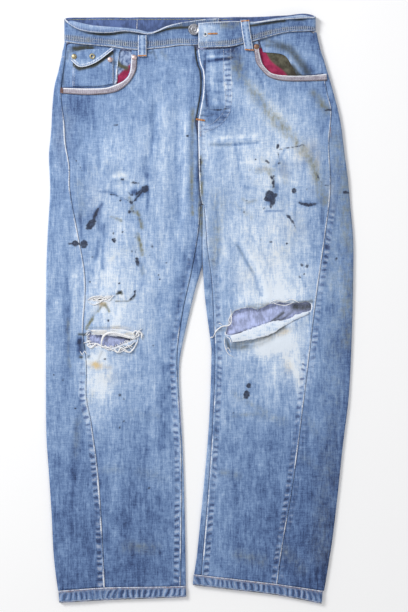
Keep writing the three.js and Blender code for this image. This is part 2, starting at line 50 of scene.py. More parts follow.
# ---- sizes shared with the frame ----
DENIM = 1.4  # wall of one panel
BAND = 2.4  # wall of the folded waistband and of the turned-up hems
TRIM = 1.2  # bindings, loops and patch pockets
BAG_WALL = 0.8
GAP = 0.3
SEAM_GAP = GAP / 2
BAND_CLEAR = 1
LEG_TOP = 4.6  # middle of the front wall on the leg
LEG_BOTTOM = DENIM / 2
HIP_LIFT = 1.5
POCKET_LIFT = 1.6
CROTCH = 182
UPPER = 360  # rows of cloth are level from here
LOWER = -440  # to here
WAIST_LEVEL = 465
FRONT_MIDDLE = 130  # from the middle of the garment
STRIP_MIDDLE = 220
LEAST_CUT = 0.0105  # metres; a narrow trim is cut a little wider than it lies
LEAST_SHARE = 0.31  # of its width times length that a sheet's area may be
LOOP_WIDTH = 14.5
COIN_WIDTH = 72
FLAP_WIDTH = 78
BAND_DEPTH = 44  # measured round its roll
FLOOR_LEVEL = -0.0004  # metres, just under the cloth

OUTER = {
    RIGHT: [
        (-238, 472), (-242, 451), (-249, 420), (-256, 393), (-260, 355), (-262, 315), (-266, 270),
        (-264, 209), (-268, 140), (-271, 60), (-271.5, -100), (-271, -220), (-267, -283), (-262, -358),
        (-257, -446), (-246, -520),
    ],
    LEFT: [
        (206, 490), (212, 461), (220, 436), (235, 385), (248, 333), (256, 274), (262, 228), (267, 174),
        (271.5, 121), (271.5, 52), (270, -21), (264, -152), (253, -245), (241, -358), (231, -433),
        (213, -520),
    ],
}
SIDE_SEAM = {
    RIGHT: [
        (-234, 472), (-239, 434), (-245, 382), (-239, 327), (-237, 292), (-230, 250), (-229, 207),
        (-215, 130), (-204, 69), (-202, 28), (-206, -42), (-200, -99), (-200, -157), (-191, -205),
        (-178, -308), (-167, -500),
    ],
    LEFT: [
        (201, 490), (215, 430), (225, 379), (232, 350), (228, 290), (231, 214), (222, 133), (205, 14),
        (186, -145), (166, -300), (144, -433), (135, -500),
    ],
}
FLY_EDGE = [
    (-5, 500), (-3, 459), (1, 431), (6, 418), (7, 386), (1, 347), (-2, 331), (-2, 290), (1, 204), (5, CROTCH),
]
INSEAM = {
    RIGHT: [
        (1.3, CROTCH), (-1, 150), (-5, 118), (-15, 63), (-30, -5), (-40, -78), (-39, -130), (-34, -220),
        (-32, -308), (-34, -500),
    ],
    LEFT: [
        (8.5, CROTCH), (11.5, 150), (14, 110), (22, 48), (26, -27), (28, -93), (25, -180), (17, -308),
        (2, -490),
    ],
}
INNER = {
    RIGHT: [
        (4.6, CROTCH), (4.6, 90), (3.5, 72), (-8, 32), (-30, -62), (-36, -100), (-36, -144), (-29, -270),
        (-25, -430), (-24, -520),
    ],
    LEFT: [
        (5, CROTCH), (5, 90), (5.6, 72), (10, 14), (19, -56), (21, -78), (17, -197), (8, -308), (-11, -500),
    ],
}
WAIST_SEAM = [
    (-245, 470), (-215, 466), (-164, 461.5), (-109, 455), (-86, 457), (-29, 464), (-10, 463), (-3, 457),
    (54, 460), (78, 467), (111, 474), (135, 482), (159, 487), (210, 489),
]
BACK_WAIST_SEAM = [(-245, 470), (-100, 472), (100, 475), (210, 488)]
YOKE_SHARE = [(-240, 0.75), (-120, 0.53), (0, 0.34), (120, 0.53), (206, 0.75)]
HEM_TOP = {
    RIGHT: [(-260, -500), (-168, -493.5), (-79, -492), (-20, -490.5)],
    LEFT: [(-15, -469.5), (67, -479), (142, -488), (225, -500.5)],
}
HEM_EDGE = {
    RIGHT: [(-260, -519), (-170, -514), (-20, -508)],
    LEFT: [(-15, -486.5), (48, -494), (132, -504), (218, -520)],
}
KNEE_TEAR = [
    (-197, -43), (-170, -41), (-140, -40), (-112, -46), (-114, -53), (-137, -64), (-153, -70), (-173, -67),
    (-195, -64),
]
THIGH_TEAR = [(-195, 16), (-175, 19), (-155, 21), (-165, 15), (-180, 12.5)]
KNEE_GASH = [
    (46, -46), (60, -9), (84, 1), (103, -2), (122, 6), (136, 10), (167, 8), (195, 9), (195, -4), (174, -10),
    (156, -19), (126, -24), (89, -37), (54, -48),
]
MOUTH = {
    RIGHT: [
        (-260, 388), (-196, 387.5), (-164, 389), (-146, 395), (-134, 401), (-127, 408), (-123, 418),
        (-120, 444), (-119, 480),
    ],
    LEFT: [
        (103, 490), (104, 458), (107, 445), (111, 431), (119, 420), (128, 413), (150, 409), (196, 410),
        (245, 414),
    ],
}
MOUTH_CORNER = {
    RIGHT: [-270, 500],
    LEFT: [245, 510],
}
BINDING_OUTER = {
    RIGHT: [
        (-242, 378.5), (-195, 376), (-164, 378), (-144, 383), (-127, 395), (-118, 407), (-112, 420),
        (-110.5, 445),
    ],
    LEFT: [(95, 460), (97, 449), (100, 433), (109, 420), (120, 409), (135, 403), (162, 400), (224, 401)],
}
BINDING_INNER = {
    RIGHT: [
        (-240, 388), (-196, 387), (-164, 388.5), (-146, 394.5), (-133, 401), (-126, 408), (-122, 419),
        (-120, 447),
    ],
    LEFT: [
        (104, 462), (105.5, 449), (110, 432), (118, 421), (128, 413.5), (150, 410), (196, 410), (224, 413),
    ],
}
FACING_FOLD = {
    RIGHT: [(-226, 384), (-190, 384), (-160, 386), (-147, 396), (-145, 420), (-142, 452)],
    LEFT: [(215, 404), (200, 405), (176, 407), (164, 426), (150, 446), (112, 452)],
}
FACING_SEAM = {
    RIGHT: [(-243, 386), (-247, 412), (-243, 436), (-240, 458), (-214, 471), (-134, 464)],
    LEFT: [(228, 404), (222, 424), (214, 454), (204, 482), (178, 491), (104, 478)],
}
BAG_EDGE = {
    RIGHT: [(-166, 382), (-140, 386), (-116, 404), (-113, 424), (-112, 454)],
    LEFT: [(100, 456), (104, 425), (118, 408), (140, 400), (186, 402)],
}
BAG_SHADOW = [(104, 462), (116, 452), (124, 438), (134, 428), (150, 416), (158, 404)]
BAG_BACK = {
    RIGHT: [(-170, 397), (-160, 408), (-152, 422), (-148, 438), (-147, 455)],
    LEFT: [(116, 463), (134, 459), (155, 450), (172, 437), (193, 420)],
}
COIN_BOTTOM = [(-224, 391), (-200, 391), (-175, 392), (-152, 396)]
COIN_TOP = [(-223, 450), (-200, 449), (-175, 450), (-152, 453)]
FLAP_TOP = [(-227, 450), (-205, 455), (-180, 457), (-150, 459)]
FLAP_EDGE = [(-226, 436), (-212, 425), (-186, 431), (-152, 455)]
STRIP_FOLD = [(54, -49.5), (89, -38.5), (126, -25.5), (156, -20.5), (174, -11.5), (193, -6)]
STRIP_EDGE = [(58, -60), (89, -56), (126, -46), (150, -31), (170, -20), (192, -10)]
FRINGE_TOP = [(-190, -38), (-165, -38), (-140, -37), (-116, -42)]
FRINGE_EDGE = [(-191, -47), (-165, -48), (-140, -50), (-112, -54)]

# Painted shade, almost black, in the dips round the tears, below the knee strip and beside a belt loop and a
# rivet, and dark stains by the right knee's side seam: the line's points, half width and strength.
STRIP_SHADE_AND_STAIN = 4  # how many of them reach the strip beyond the side seam
PAINTED_SHADE_AND_STAIN = [
    ((-212, -60), (-207, -62), (-207, -74), 5, 0.42), ((-211, -86), (-208, -87), 3, 0.9),
    ((-197, -86), (-195, -85), 2.5, 0.8), ((-213, -46), (-204, -47), (-198, -45), 3, 0.8),
    ((60, -64), (89, -60), (112, -54), (132, -44), (150, -34), 4.6, 0.62),
    ((60, -68), (72, -69), (84, -67), 7, 0.6), ((88, 3), (104, 0), (122, 8), 2.6, 0.5),
    ((168, 10), (184, 11), (199, 11), 2.2, 0.8), ((48, -56), (52, -70), 4, 0.7),
    ((36, -40), (50, -36), 3, 0.45), ((-213, -62), (-206, -60), (-203, -72), 5, 0.55),
    ((-205, -47), (-196, -45), 3, 0.7), ((-146, 25), (-139, 28), (-137, 25), 2.4, 0.9),
    ((-127, -76), (-114, -69), 3, 0.4), ((-148, 12), (-128, 12), (-118, 15), (-113, 22), 2, 0.6),
    ((-196, -34), (-160, -34), (-140, -33), 1.6, 0.5), ((100, 3), (84, 4), (122, 9), 2, 0.4),
    ((-172, -76), (-176, -84), (-180, -96), 2.5, 0.3), ((-150, -79), (-125, -84), (-112, -76), 3, 0.3),
    ((-137, -68), (-126, -71), (-115, -63), 3.4, 0.6), ((-146, -76), (-140, -72), 2.4, 0.5),
    ((170, 4), (198, 14), 2.5, 0.5), ((-96, 452), (-86, 450), 3, 0.5), ((-84, 458), (-76, 440), 2.5, 0.5),
    ((98, 450), (96, 458), 2, 0.6), ((62, -70), (86, -70), (110, -62), (128, -52), 6, 0.36),
]
# Painted shadow under the waistband's rolled lip: the points of each line.
BAND_LIP_SHADOWS = [
    [(-78, 486), (-60, 491), (-44, 494), (-16, 495)], [(88, 497), (110, 500), (134, 504), (150, 506)],
]
# Painted shade on the back leg inside the tears: the line's points, half width and strength.
INSIDE_SHADE = [
    ((168, 2), (184, 1), (200, 2), 8.5, 0.8), ((50, -50), (89, -39), (126, -26), (150, -18), 2.2, 0.8),
    ((124, -27), (136, -18), (148, -8), 3.4, 0.85), ((150, -17), (164, -6), 2.6, 0.6),
    ((60, 2), (90, 4), (120, 10), 2.4, 0.2), ((-196, -44), (-172, -46), (-150, -48), 2.6, 0.75),
    ((-150, -50), (-132, -52), (-118, -56), 3, 0.75), ((-152, -69), (-134, -64), (-116, -54), 2, 0.7),
    ((-200, -50), (-196, -66), 2.5, 0.5), ((-195, 15), (-160, 18), 6, 0.9),
]
# Painted shade round each pocket's facing, where it rolls under: the line's points, half width and strength.
FACING_SHADE = {
    RIGHT: [
        ((-222, 458), (-200, 460), (-190, 459), 5, 1), ((-232, 452), (-234, 440), 3, 0.5),
        ((-240, 395), (-243, 430), 3, 0.45),
    ],
    LEFT: [
        ((138, 464), (158, 458), (170, 444), (182, 428), (190, 416), 9, 0.7),
        ((118, 463), (140, 464), 4, 0.5), ((164, 426), (170, 416), (178, 408), 6, 0.9),
        ((128, 470), (140, 468), 5, 0.45),
    ],
}

# Across the waistband at each station: x, then y, z of four points from its seam to its free edge.
BAND_STATIONS = [
    (34, 469, 8.6, 483, 8.9, 497, 9.1, 510.5, 9.4), (8, 466, 8.6, 481, 8.9, 495, 9.1, 509, 9.3),
    (-16, 463.5, 8.7, 479, 9, 493, 9.2, 505.5, 9.8), (-34, 463.5, 8.7, 480, 9, 492, 10.4, 502, 13.5),
    (-58, 460, 8.8, 479, 9.2, 490, 11, 495, 15.5), (-74, 458.5, 8.9, 477, 9.6, 486.5, 12, 487.5, 16.6),
    (-90, 457, 9, 476, 10, 485, 13, 482.5, 16.8), (-110, 455.5, 9, 475, 10.5, 489.5, 14.5, 485, 17.6),
    (-132, 457.5, 9, 477, 11, 492, 15.2, 487, 18), (-160, 461.5, 9, 479, 11, 494, 15.5, 484, 18),
    (-190, 464, 9, 482, 11, 497, 15.5, 485.5, 17.6), (-213, 466, 8.9, 484, 10.8, 502, 14.5, 490.5, 17),
    (-229, 468.5, 8.4, 486, 10, 505, 12.5, 500, 15), (-236.5, 470, 6.8, 487, 8, 501, 9.5, 509, 11),
    (-237.5, 470, 4.5, 487, 4.9, 501, 5.4, 511.5, 6.2), (-232, 470.5, 2.9, 486, 2.9, 500, 2.9, 513, 3),
    (-190, 471.5, 2.8, 486, 2.8, 500, 2.8, 513.5, 2.8), (-100, 472, 2.8, 486, 2.8, 500, 2.8, 513.5, 2.8),
    (0, 472, 2.8, 486, 2.8, 500, 2.8, 513.5, 2.8), (100, 475, 2.8, 489, 2.8, 502, 2.8, 514.5, 2.8),
    (150, 480, 2.8, 493, 2.8, 505, 2.8, 517, 2.8), (185, 486, 2.8, 498, 2.8, 509, 2.8, 520, 2.9),
    (199, 488.5, 3.1, 498.5, 3.2, 508.5, 3.4, 517.5, 3.8), (204, 489, 5.2, 498, 5.8, 507.5, 6.4, 514.5, 7.4),
    (202, 489, 7.6, 498, 9.4, 509, 10.6, 512, 13), (186, 488.5, 8.9, 501, 11, 514.5, 13.5, 510.5, 17.4),
    (150, 486, 9.2, 499, 11, 511, 14, 508, 18), (120, 478, 9.2, 494, 10.8, 506.5, 13.5, 505, 17.6),
    (97, 471, 9.4, 488, 10.8, 499.5, 12.6, 503, 15.6), (80, 467, 9.8, 484, 11, 496, 11.8, 504.5, 13),
    (56, 461, 11.6, 477, 12, 491, 12.2, 505, 12.6), (24, 459.5, 12.6, 474, 13.5, 489, 14, 503.5, 13),
    (-2, 458, 12.8, 473, 15.5, 488, 17, 501, 14.5),
]

# ---- how the cloth lies and how it has worn ----
# Folds of the whole front, as in the frame: start, end, width and height.
FOLDS = [
    ((-18, 340), (-14, 130), 12, 1.2), ((-175, -18), (-125, -18), 22, 1.6), ((95, 30), (175, 40), 30, 1.8),
    ((110, -75), (165, -55), 26, 1.2), ((62, 436), (150, 300), 24, 1.2), ((-130, 300), (-120, 90), 40, 0.8),
]
# Creases pressed into the front: the line's points, width and height, below 0 for a trough.
CREASES = [
    ((-12, 351), (-13, 280), (-14, 209), (-13, 165), 4, -1.3),
    ((-20, 340), (-22, 280), (-24, 180), (-34, 60), 7, 0.8),
    ((-77, 359), (-82, 305), (-88, 276), (-93, 248), (-91, 197), 7, -1),
    ((-60, 350), (-64, 270), (-62, 180), 12, 0.8), ((-38, 350), (-40, 260), (-38, 160), 7, -0.6),
    ((-219, 262), (-205, 240), 5, -0.8), ((-162, 202), (-132, 193), (-121, 186), 4, -0.8),
    ((-150, 190), (-128, 184), 6, 0.7), ((-214, 165), (-206, 122), 6, -0.9),
    ((-178, 163), (-173, 110), (-175, 89), 4, -0.6), ((-185, 119), (-185, 85), 4, -0.6),
    ((-171, 5), (-186, -14), (-201, -34), 5, -1.6), ((-171, 5), (-162, -5), 4, -1.1),
    ((-140, 14), (-122, 14), (-115, 22), 3, -0.9), ((-111, 128), (-104, 113), (-100, 98), 4, -0.9),
    ((-218, 330), (-205, 300), 7, -0.8), ((-190, 350), (-180, 300), (-178, 250), 9, -0.6),
    ((-225, 360), (-212, 330), (-215, 290), 6, 0.7), ((-140, 420), (-118, 385), (-90, 352), 8, 0.9),
    ((-96, 440), (-70, 400), (-58, 370), 7, -0.7), ((-150, 60), (-120, 40), (-85, 30), 10, 0.8),
    ((-60, 120), (-80, 60), (-70, 0), 10, -0.6), ((-200, -100), (-160, -120), (-110, -110), 12, 0.7),
    ((20, 288), (54, 287), (103, 291), 4, -1.1), ((22, 294), (60, 294), (100, 297), 4, 0.8),
    ((13, 351), (52, 351), 3, -1.3), ((10, 357), (50, 358), 3, 1), ((2, 340), (25, 341), 3, -1.1),
    ((10, 367), (57, 363), 4, -0.9), ((10, 324), (45, 331), 3, -1), ((8, 330), (44, 337), 3, 0.8),
    ((103, 239), (110, 245), (118, 246), (130, 232), 4, -1.1), ((96, 226), (112, 232), (124, 220), 6, 0.9),
    ((210, 236), (213, 222), (219, 219), (224, 227), 3, -1), ((231, 349), (217, 349), (203, 352), 4, -1.2),
    ((230, 344), (201, 336), 4, 0.9), ((59, 303), (68, 262), (73, 220), 6, -0.6),
    ((60, 232), (100, 214), (118, 206), 5, -0.6), ((160, 170), (186, 176), (205, 186), 5, 0.7),
    ((66, 112), (96, 60), (110, 20), 6, -0.9), ((78, 118), (108, 66), (122, 24), 7, 1),
    ((126, 128), (150, 100), 6, -0.6), ((96, 175), (112, 140), (104, 110), 8, 0.6),
    ((30, 180), (34, 120), (30, 60), 7, -0.7), ((55, 90), (52, 30), (40, -10), 8, 0.6),
    ((145, -60), (170, -84), (176, -120), 8, 0.8), ((60, -80), (110, -92), (160, -88), 10, -0.6),
    ((61, 439), (77, 402), (102, 377), (123, 344), 9, -0.8),
    ((46, 430), (60, 400), (84, 372), (110, 330), 9, 0.9), ((140, 410), (152, 380), (175, 350), 8, -0.6),
    ((176, 402), (196, 372), (214, 345), 8, 0.8),
]
# Cloth lifted round the torn knees: the line's points, width and height.
LIFTS = [
    ((60, 6), (103, 8), (140, 16), (190, 14), 12, 2.4), ((100, -52), (150, -34), (185, -18), 9, 1.4),
    ((-192, -36), (-150, -34), (-114, -40), 9, 2.2), ((-190, -70), (-150, -76), (-116, -60), 8, 1.4),
    ((-196, 22), (-172, 26), (-152, 24), 6, 1.6),
]

# How far the dye has washed out, from 0 for dark indigo to 1 for almost white: down each leg, and across it.
FADE_DOWN = {
    RIGHT: [
        (500, 0.38), (400, 0.52), (300, 0.64), (200, 0.65), (100, 0.7), (30, 0.76), (-50, 0.68), (-150, 0.6),
        (-250, 0.45), (-350, 0.34), (-450, 0.26), (-520, 0.3),
    ],
    LEFT: [
        (500, 0.42), (400, 0.58), (300, 0.78), (200, 0.76), (100, 0.81), (40, 0.84), (-50, 0.73),
        (-100, 0.71), (-150, 0.62), (-250, 0.43), (-350, 0.33), (-450, 0.26), (-520, 0.3),
    ],
}
FADE_ACROSS_THIGH = {
    RIGHT: [
        (-272, -0.14), (-240, -0.12), (-215, -0.1), (-180, 0), (-150, 0.07), (-100, 0.03), (-60, 0),
        (-30, -0.05), (-12, -0.12), (5, -0.14),
    ],
    LEFT: [
        (0, -0.08), (30, -0.1), (60, -0.02), (100, 0.07), (140, 0.06), (170, 0.02), (200, -0.13),
        (230, -0.27), (272, -0.34),
    ],
}
FADE_ACROSS_SHIN = {
    RIGHT: [(-272, 0.02), (-224, -0.03), (-164, 0.03), (-104, 0), (-44, 0.06), (-13, 0.08)],
    LEFT: [(-10, 0.17), (17, 0.16), (47, 0.1), (107, 0.01), (167, -0.08), (227, -0.14), (257, -0.16)],
}
# Soft patches of more or less fading, and a patch of painted shadow under the waistband's lip at -229, 490:
# x, y, reach across, reach along, amount and any turn in degrees.
FADES = [
    (-262, 350, 12, 44, -0.14), (12, 290, 16, 40, 0.08), (140, 246, 16, 14, -0.14), (150, 138, 28, 24, -0.12),
    (-144, 244, 14, 14, -0.14), (54, -76, 12, 12, -0.16), (-232, -74, 12, 24, -0.12),
    (-62, -180, 10, 20, -0.1), (60, -180, 14, 24, -0.12), (-140, -3, 12, 30, 0.04), (-240, 290, 22, 90, -0.1),
    (-184, 186, 34, 60, 0.07), (-140, 352, 34, 50, -0.13), (-62, 404, 18, 30, -0.1), (40, 440, 44, 26, -0.12),
    (84, 454, 18, 14, -0.14), (72, 340, 34, 40, -0.1), (145, 190, 44, 50, -0.11), (198, 226, 12, 36, 0.14),
    (-214, -74, 14, 16, -0.24), (-188, -160, 14, 40, 0.13), (258, -200, 14, 140, -0.08),
    (10, 290, 20, 40, 0.1), (-30, 386, 12, 30, 0.1), (-176, -118, 22, 40, 0.3, 8),
    (-168, -150, 14, 26, 0.14, -14), (-196, -92, 8, 26, 0.14), (-164, 70, 30, 55, 0.1),
    (-176, 8, 24, 20, 0.1), (-130, 290, 46, 30, 0.06), (-206, 350, 24, 30, -0.18), (8, 428, 26, 26, -0.12),
    (44, 322, 26, 22, -0.1), (-20, 318, 26, 40, 0.08), (-170, 150, 22, 34, -0.1), (-236, 60, 16, 80, -0.06),
    (-160, -60, 40, 10, 0.14), (-222, -96, 14, 40, 0.14), (120, -70, 60, 14, 0.16, 16),
    (-150, -12, 44, 26, 0.1), (-176, -90, 24, 14, 0.12), (140, 22, 40, 14, 0.12, 6), (88, -20, 20, 10, 0.05),
    (268, -60, 16, 200, -0.1), (-193, 168, 14, 46, -0.14), (-150, 408, 30, 22, -0.05),
    (-64, 400, 26, 60, 0.07), (-62, 280, 10, 90, 0.06), (-84, 330, 5, 50, -0.1, 3), (-110, 176, 18, 34, -0.1),
    (18, 350, 14, 40, -0.2), (34, 338, 26, 12, -0.22), (70, 380, 30, 26, 0.12), (56, 312, 26, 20, 0.08),
    (46, 404, 7, 36, 0.14), (24, 410, 6, 44, 0.1), (122, 214, 24, 18, 0.14), (140, 128, 36, 60, 0.1),
    (128, 40, 60, 30, 0.06), (140, -58, 44, 26, 0.18, 14), (172, -112, 14, 52, 0.2, 6),
    (148, -92, 30, 40, 0.08), (206, 60, 12, 60, -0.06), (212, -40, 14, 60, -0.1), (-218, 20, 10, 70, 0.1),
    (-232, 420, 8, 40, 0.1), (170, 446, 34, 22, 0.12), (206, 420, 12, 30, 0.12), (-244, 180, 12, 90, 0.06),
    (84, -118, 30, 44, -0.06), (-150, -46, 30, 16, 0.05), (-44, 452, 24, 12, -0.1), (-86, 440, 18, 14, -0.08),
    (120, 448, 10, 14, 0.1), (-201, -140, 12, 26, 0.14), (-173, -112, 14, 16, -0.1),
    (-232, -120, 10, 40, -0.1), (-173, -185, 20, 24, 0.1), (40, 488, 22, 14, -0.1), (110, 492, 14, 12, -0.12),
    # the patch at -229, 490 is painted shadow under the waistband's lip
    (-229, 490, 12, 14, -0.22), (-180, 457, 50, 12, -0.12), (54, 457, 16, 12, -0.1),
    (195, 421, 16, 14, -0.16), (66, 420, 18, 20, -0.08), (170, 388, 50, 16, -0.1), (-220, 386, 20, 16, -0.1),
    (-144, 386, 12, 12, -0.08), (-229, 48, 12, 26, 0.14), (-50, 40, 24, 50, -0.14), (40, 44, 26, 40, -0.12),
    (-74, 0, 24, 30, -0.12), (22, -95, 10, 40, -0.16), (-58, -110, 10, 30, -0.14), (167, -110, 10, 16, -0.12),
    (82, -214, 14, 18, -0.1), (-76, -393, 20, 20, 0.12), (-30, -464, 14, 20, 0.14), (196, -464, 10, 20, 0.1),
    (-144, 32, 16, 14, -0.1), (96, 36, 26, 12, -0.1), (-30, -300, 8, 120, 0.1), (10, -300, 8, 120, 0.08),
    (-224, -440, 14, 60, 0.05),
]
# Grey-olive soiling, and painted shade in the gap down the middle between the legs: the line's points, width
# and strength.
SOILING = [
    ((61, 439), (77, 402), (102, 377), (123, 344), (141, 325), 14, 0.66),
    ((141, 325), (160, 305), (174, 290), (189, 273), (199, 254), (204, 241), (213, 207),
     (222, 191), 12, 0.68),
    ((226, 280), (238, 150), (240, 0), (236, -150), (226, -300), (214, -440), 26, 0.3),
    ((201, 377), (214, 362), (225, 349), 10, 0.6), ((-12, 351), (-13, 280), (-14, 209), (-12, 165), 4, 0.75),
    # the line at x 1 to 3 is painted shadow in the gap between the legs
    ((1, 265), (3, 215), (2, 180), (3, 130), 5, 0.85), ((-171, 5), (-186, -14), (-200, -36), 3.4, 1.1),
    ((-167, 7), (-160, -6), 3, 0.9),
    ((-125, 194), (-117, 181), (-122, 170), (-110, 170), (-105, 157), (-102, 142), 4, 0.9),
    ((-109, 130), (-105, 112), (-101, 95), 4.4, 0.85), ((-156, 161), (-146, 158), (-138, 154), 2.6, 0.8),
    ((-112, 84), (-103, 76), (-100, 60), 4, 0.6), ((-214, 222), (-209, 190), (-206, 150), 9, 0.35),
    ((-232, -20), (-232, -90), (-226, -120), 4, 0.5),
    ((103, 239), (118, 246), (130, 232), (131, 210), 6, 0.55), ((66, 112), (96, 60), 3, 0.5),
    ((20, 288), (54, 288), 4, 0.5), ((-75, -190), (-120, -186), 9, 0.25),
    ((105, -186), (150, -200), 12, 0.35), ((190, -196), (216, -230), 14, 0.3),
    ((184, -262), (206, -280), 12, 0.35), ((40, -290), (66, -296), 9, 0.4),
    ((-170, -286), (-140, -284), 9, 0.3), ((-106, -290), (-60, -300), 12, 0.25),
    ((-130, -422), (-80, -424), 14, 0.4), ((70, -436), (110, -446), 14, 0.4),
    ((150, -430), (180, -460), 14, 0.4), ((-190, -150), (-214, -200), (-220, -260), 9, 0.35),
    ((60, -150), (90, -170), (120, -184), 7, 0.4), ((-226, 455), (-205, 458), 6, 0.5),
    ((110, 474), (126, 470), 7, 0.5), ((-58, 442), (-66, 452), 6, 0.4), ((220, 200), (222, 120), 8, 0.25),
    ((-152, 90), (-120, 110), (-96, 96), 12, 0.25), ((-110, -40), (-60, -30), 16, 0.15),
    ((245, 300), (262, 150), (262, -60), 22, 0.5), ((-236, 350), (-238, 300), 8, 0.35),
    ((34, 200), (30, 140), (26, 84), 16, 0.42), ((60, -190), (110, -186), 5, 0.4),
    ((-140, 230), (-160, 250), (-190, 240), 16, 0.22), ((150, 190), (176, 150), (150, 96), 16, 0.25),
    ((112, 262), (140, 250), (150, 232), 8, 0.3), ((101, 243), (116, 246), (130, 242), 5, 0.55),
    ((146, 256), (150, 240), (152, 222), 8, 0.35), ((176, 296), (190, 276), (200, 256), 14, 0.3),
    ((58, 186), (76, 173), (92, 160), 7, 0.35), ((76, 192), (84, 185), (98, 190), 4, 0.5),
    ((214, 216), (219, 198), (220, 182), 6, 0.5),
]
# Long soft marks in the dye, darker below 0 and paler above, and painted crease shade down the middle between
# the legs: the line's points, width and amount.
SMEARS = [
    ((-118, 204), (-106, 205), (-96, 214), 6, -0.42), ((-112, 192), (-104, 198), (-98, 206), 4, -0.3),
    ((120, 190), (130, 202), (136, 212), 7, -0.3), ((180, 186), (200, 184), 6, -0.25),
    ((-211, 166), (-208, 130), (-207, 116), 3.2, -0.34),
    ((-179, 176), (-176, 130), (-182, 95), (-188, 66), 5, -0.26),
    ((-168, 150), (-170, 110), (-172, 70), 3, -0.26), ((-186, 160), (-180, 172), (-173, 184), 4, -0.5),
    ((-200, 262), (-206, 230), (-204, 205), 5, -0.14),
    ((-176, 205), (-160, 206), (-146, 198), (-130, 188), 2.2, -0.32),
    ((-92, 236), (-90, 200), (-94, 168), 3, -0.26), ((-98, 262), (-92, 232), 7, -0.16),
    ((-84, 96), (-76, 84), (-66, 72), 4, -0.2), ((-100, 84), (-98, 60), (-102, 44), 6, -0.16),
    ((-152, 232), (-130, 236), 5, 0.22), ((-150, 226), (-128, 222), 3, -0.18),
    ((-215, 150), (-217, 120), 3, 0.1), ((-140, 420), (-118, 385), (-90, 352), 3, 0.16),
    ((-136, 414), (-112, 380), 2, -0.12), ((-77, 359), (-82, 305), (-90, 262), 3, -0.2),
    ((-60, 360), (-64, 280), (-60, 190), 4, 0.1), ((-24, 340), (-26, 250), (-30, 160), 4, 0.12),
    ((-38, 350), (-41, 260), (-38, 150), 3, -0.14), ((-120, 340), (-118, 290), (-122, 240), 5, -0.08),
    ((-190, 350), (-180, 300), (-178, 250), 4, -0.14), ((-236, 60), (-232, 10), (-236, -60), 6, -0.2),
    ((-196, -110), (-200, -160), (-196, -240), 3, 0.14), ((10, 450), (8, 400), (14, 356), 2.4, -0.3),
    ((24, 446), (22, 400), (28, 360), 4, 0.16), ((43, 440), (44, 404), (47, 368), 1.4, 0.2),
    ((55, 440), (56, 404), (56, 368), 1.4, 0.2), ((27, 401), (40, 400), (56, 402), 3, -0.24),
    ((27, 381), (44, 380), (57, 383), 3, -0.22), ((16, 436), (36, 438), (62, 442), 3.4, -0.42),
    ((14, 443), (36, 444), (56, 447), 2.6, 0.2),
    ((-22, 90), (-34, 20), (-46, -40), (-56, -110), (-62, -180), (-64, -240), 13, -0.24),
    ((30, 452), (60, 454), 8, -0.2),
    ((8, 80), (12, 20), (18, -40), (16, -110), (22, -180), (24, -240), 13, -0.22),
    ((60, 470), (64, 446), (70, 424), 6, -0.16), ((80, 440), (96, 420), (110, 398), 5, -0.14),
    ((96, 392), (120, 366), (140, 340), 5, 0.14), ((30, 300), (66, 302), (104, 306), 3, 0.14),
    ((20, 289), (54, 288), (103, 292), 2, -0.28), ((60, 300), (68, 262), (73, 216), 3, -0.14),
    ((80, 214), (104, 210), (118, 204), 3, -0.14), ((132, 250), (142, 262), (150, 280), 3, -0.14),
    ((150, 256), (172, 250), (200, 262), 5, -0.12), ((140, 230), (160, 226), (184, 214), 4, 0.14),
    ((76, 118), (106, 66), (120, 24), 3.4, 0.16), ((66, 112), (94, 62), (108, 22), 2.8, -0.26),
    ((94, 122), (118, 84), (134, 44), 3, -0.16), ((150, 100), (170, 70), (186, 40), 4, -0.14),
    ((30, 180), (33, 120), (30, 50), 3, -0.14), ((40, 170), (44, 110), (42, 40), 4, 0.1),
    ((214, 190), (222, 120), (222, 40), 5, -0.16), ((150, -86), (170, -110), (176, -170), 4, 0.16),
    ((130, -100), (136, -150), (128, -200), 4, 0.12), ((100, -90), (98, -130), (104, -170), 4, -0.12),
    ((40, -110), (50, -180), (44, -260), 5, -0.1), ((60, -240), (62, -330), (70, -420), 5, -0.08),
    ((150, -240), (146, -330), (140, -430), 5, 0.07), ((-150, -200), (-154, -300), (-150, -420), 6, 0.06),
    ((-90, -180), (-96, -280), (-88, -400), 5, -0.08), ((-210, -160), (-222, -260), (-226, -400), 5, -0.08),
    ((-60, -120), (-58, -220), (-50, -340), 5, 0.08), ((200, -180), (206, -280), (196, -400), 6, 0.06),
    ((-211, -57), (-208, -66), (-207, -76), 6, -0.6),
    # painted crease shadow down the middle between the legs
    ((-4, 320), (-2, 250), (-2, 180), (-6, 120), (-10, 70), 8, -0.15),
    ((72, 257), (90, 258), (106, 256), 2, 0.16), ((116, 171), (130, 172), (147, 171), 1.4, -0.3),
    ((-199, -60), (-206, -88), (-196, -98), 3, 0.2), ((-170, -84), (-182, -90), (-190, -84), 4, 0.2),
]
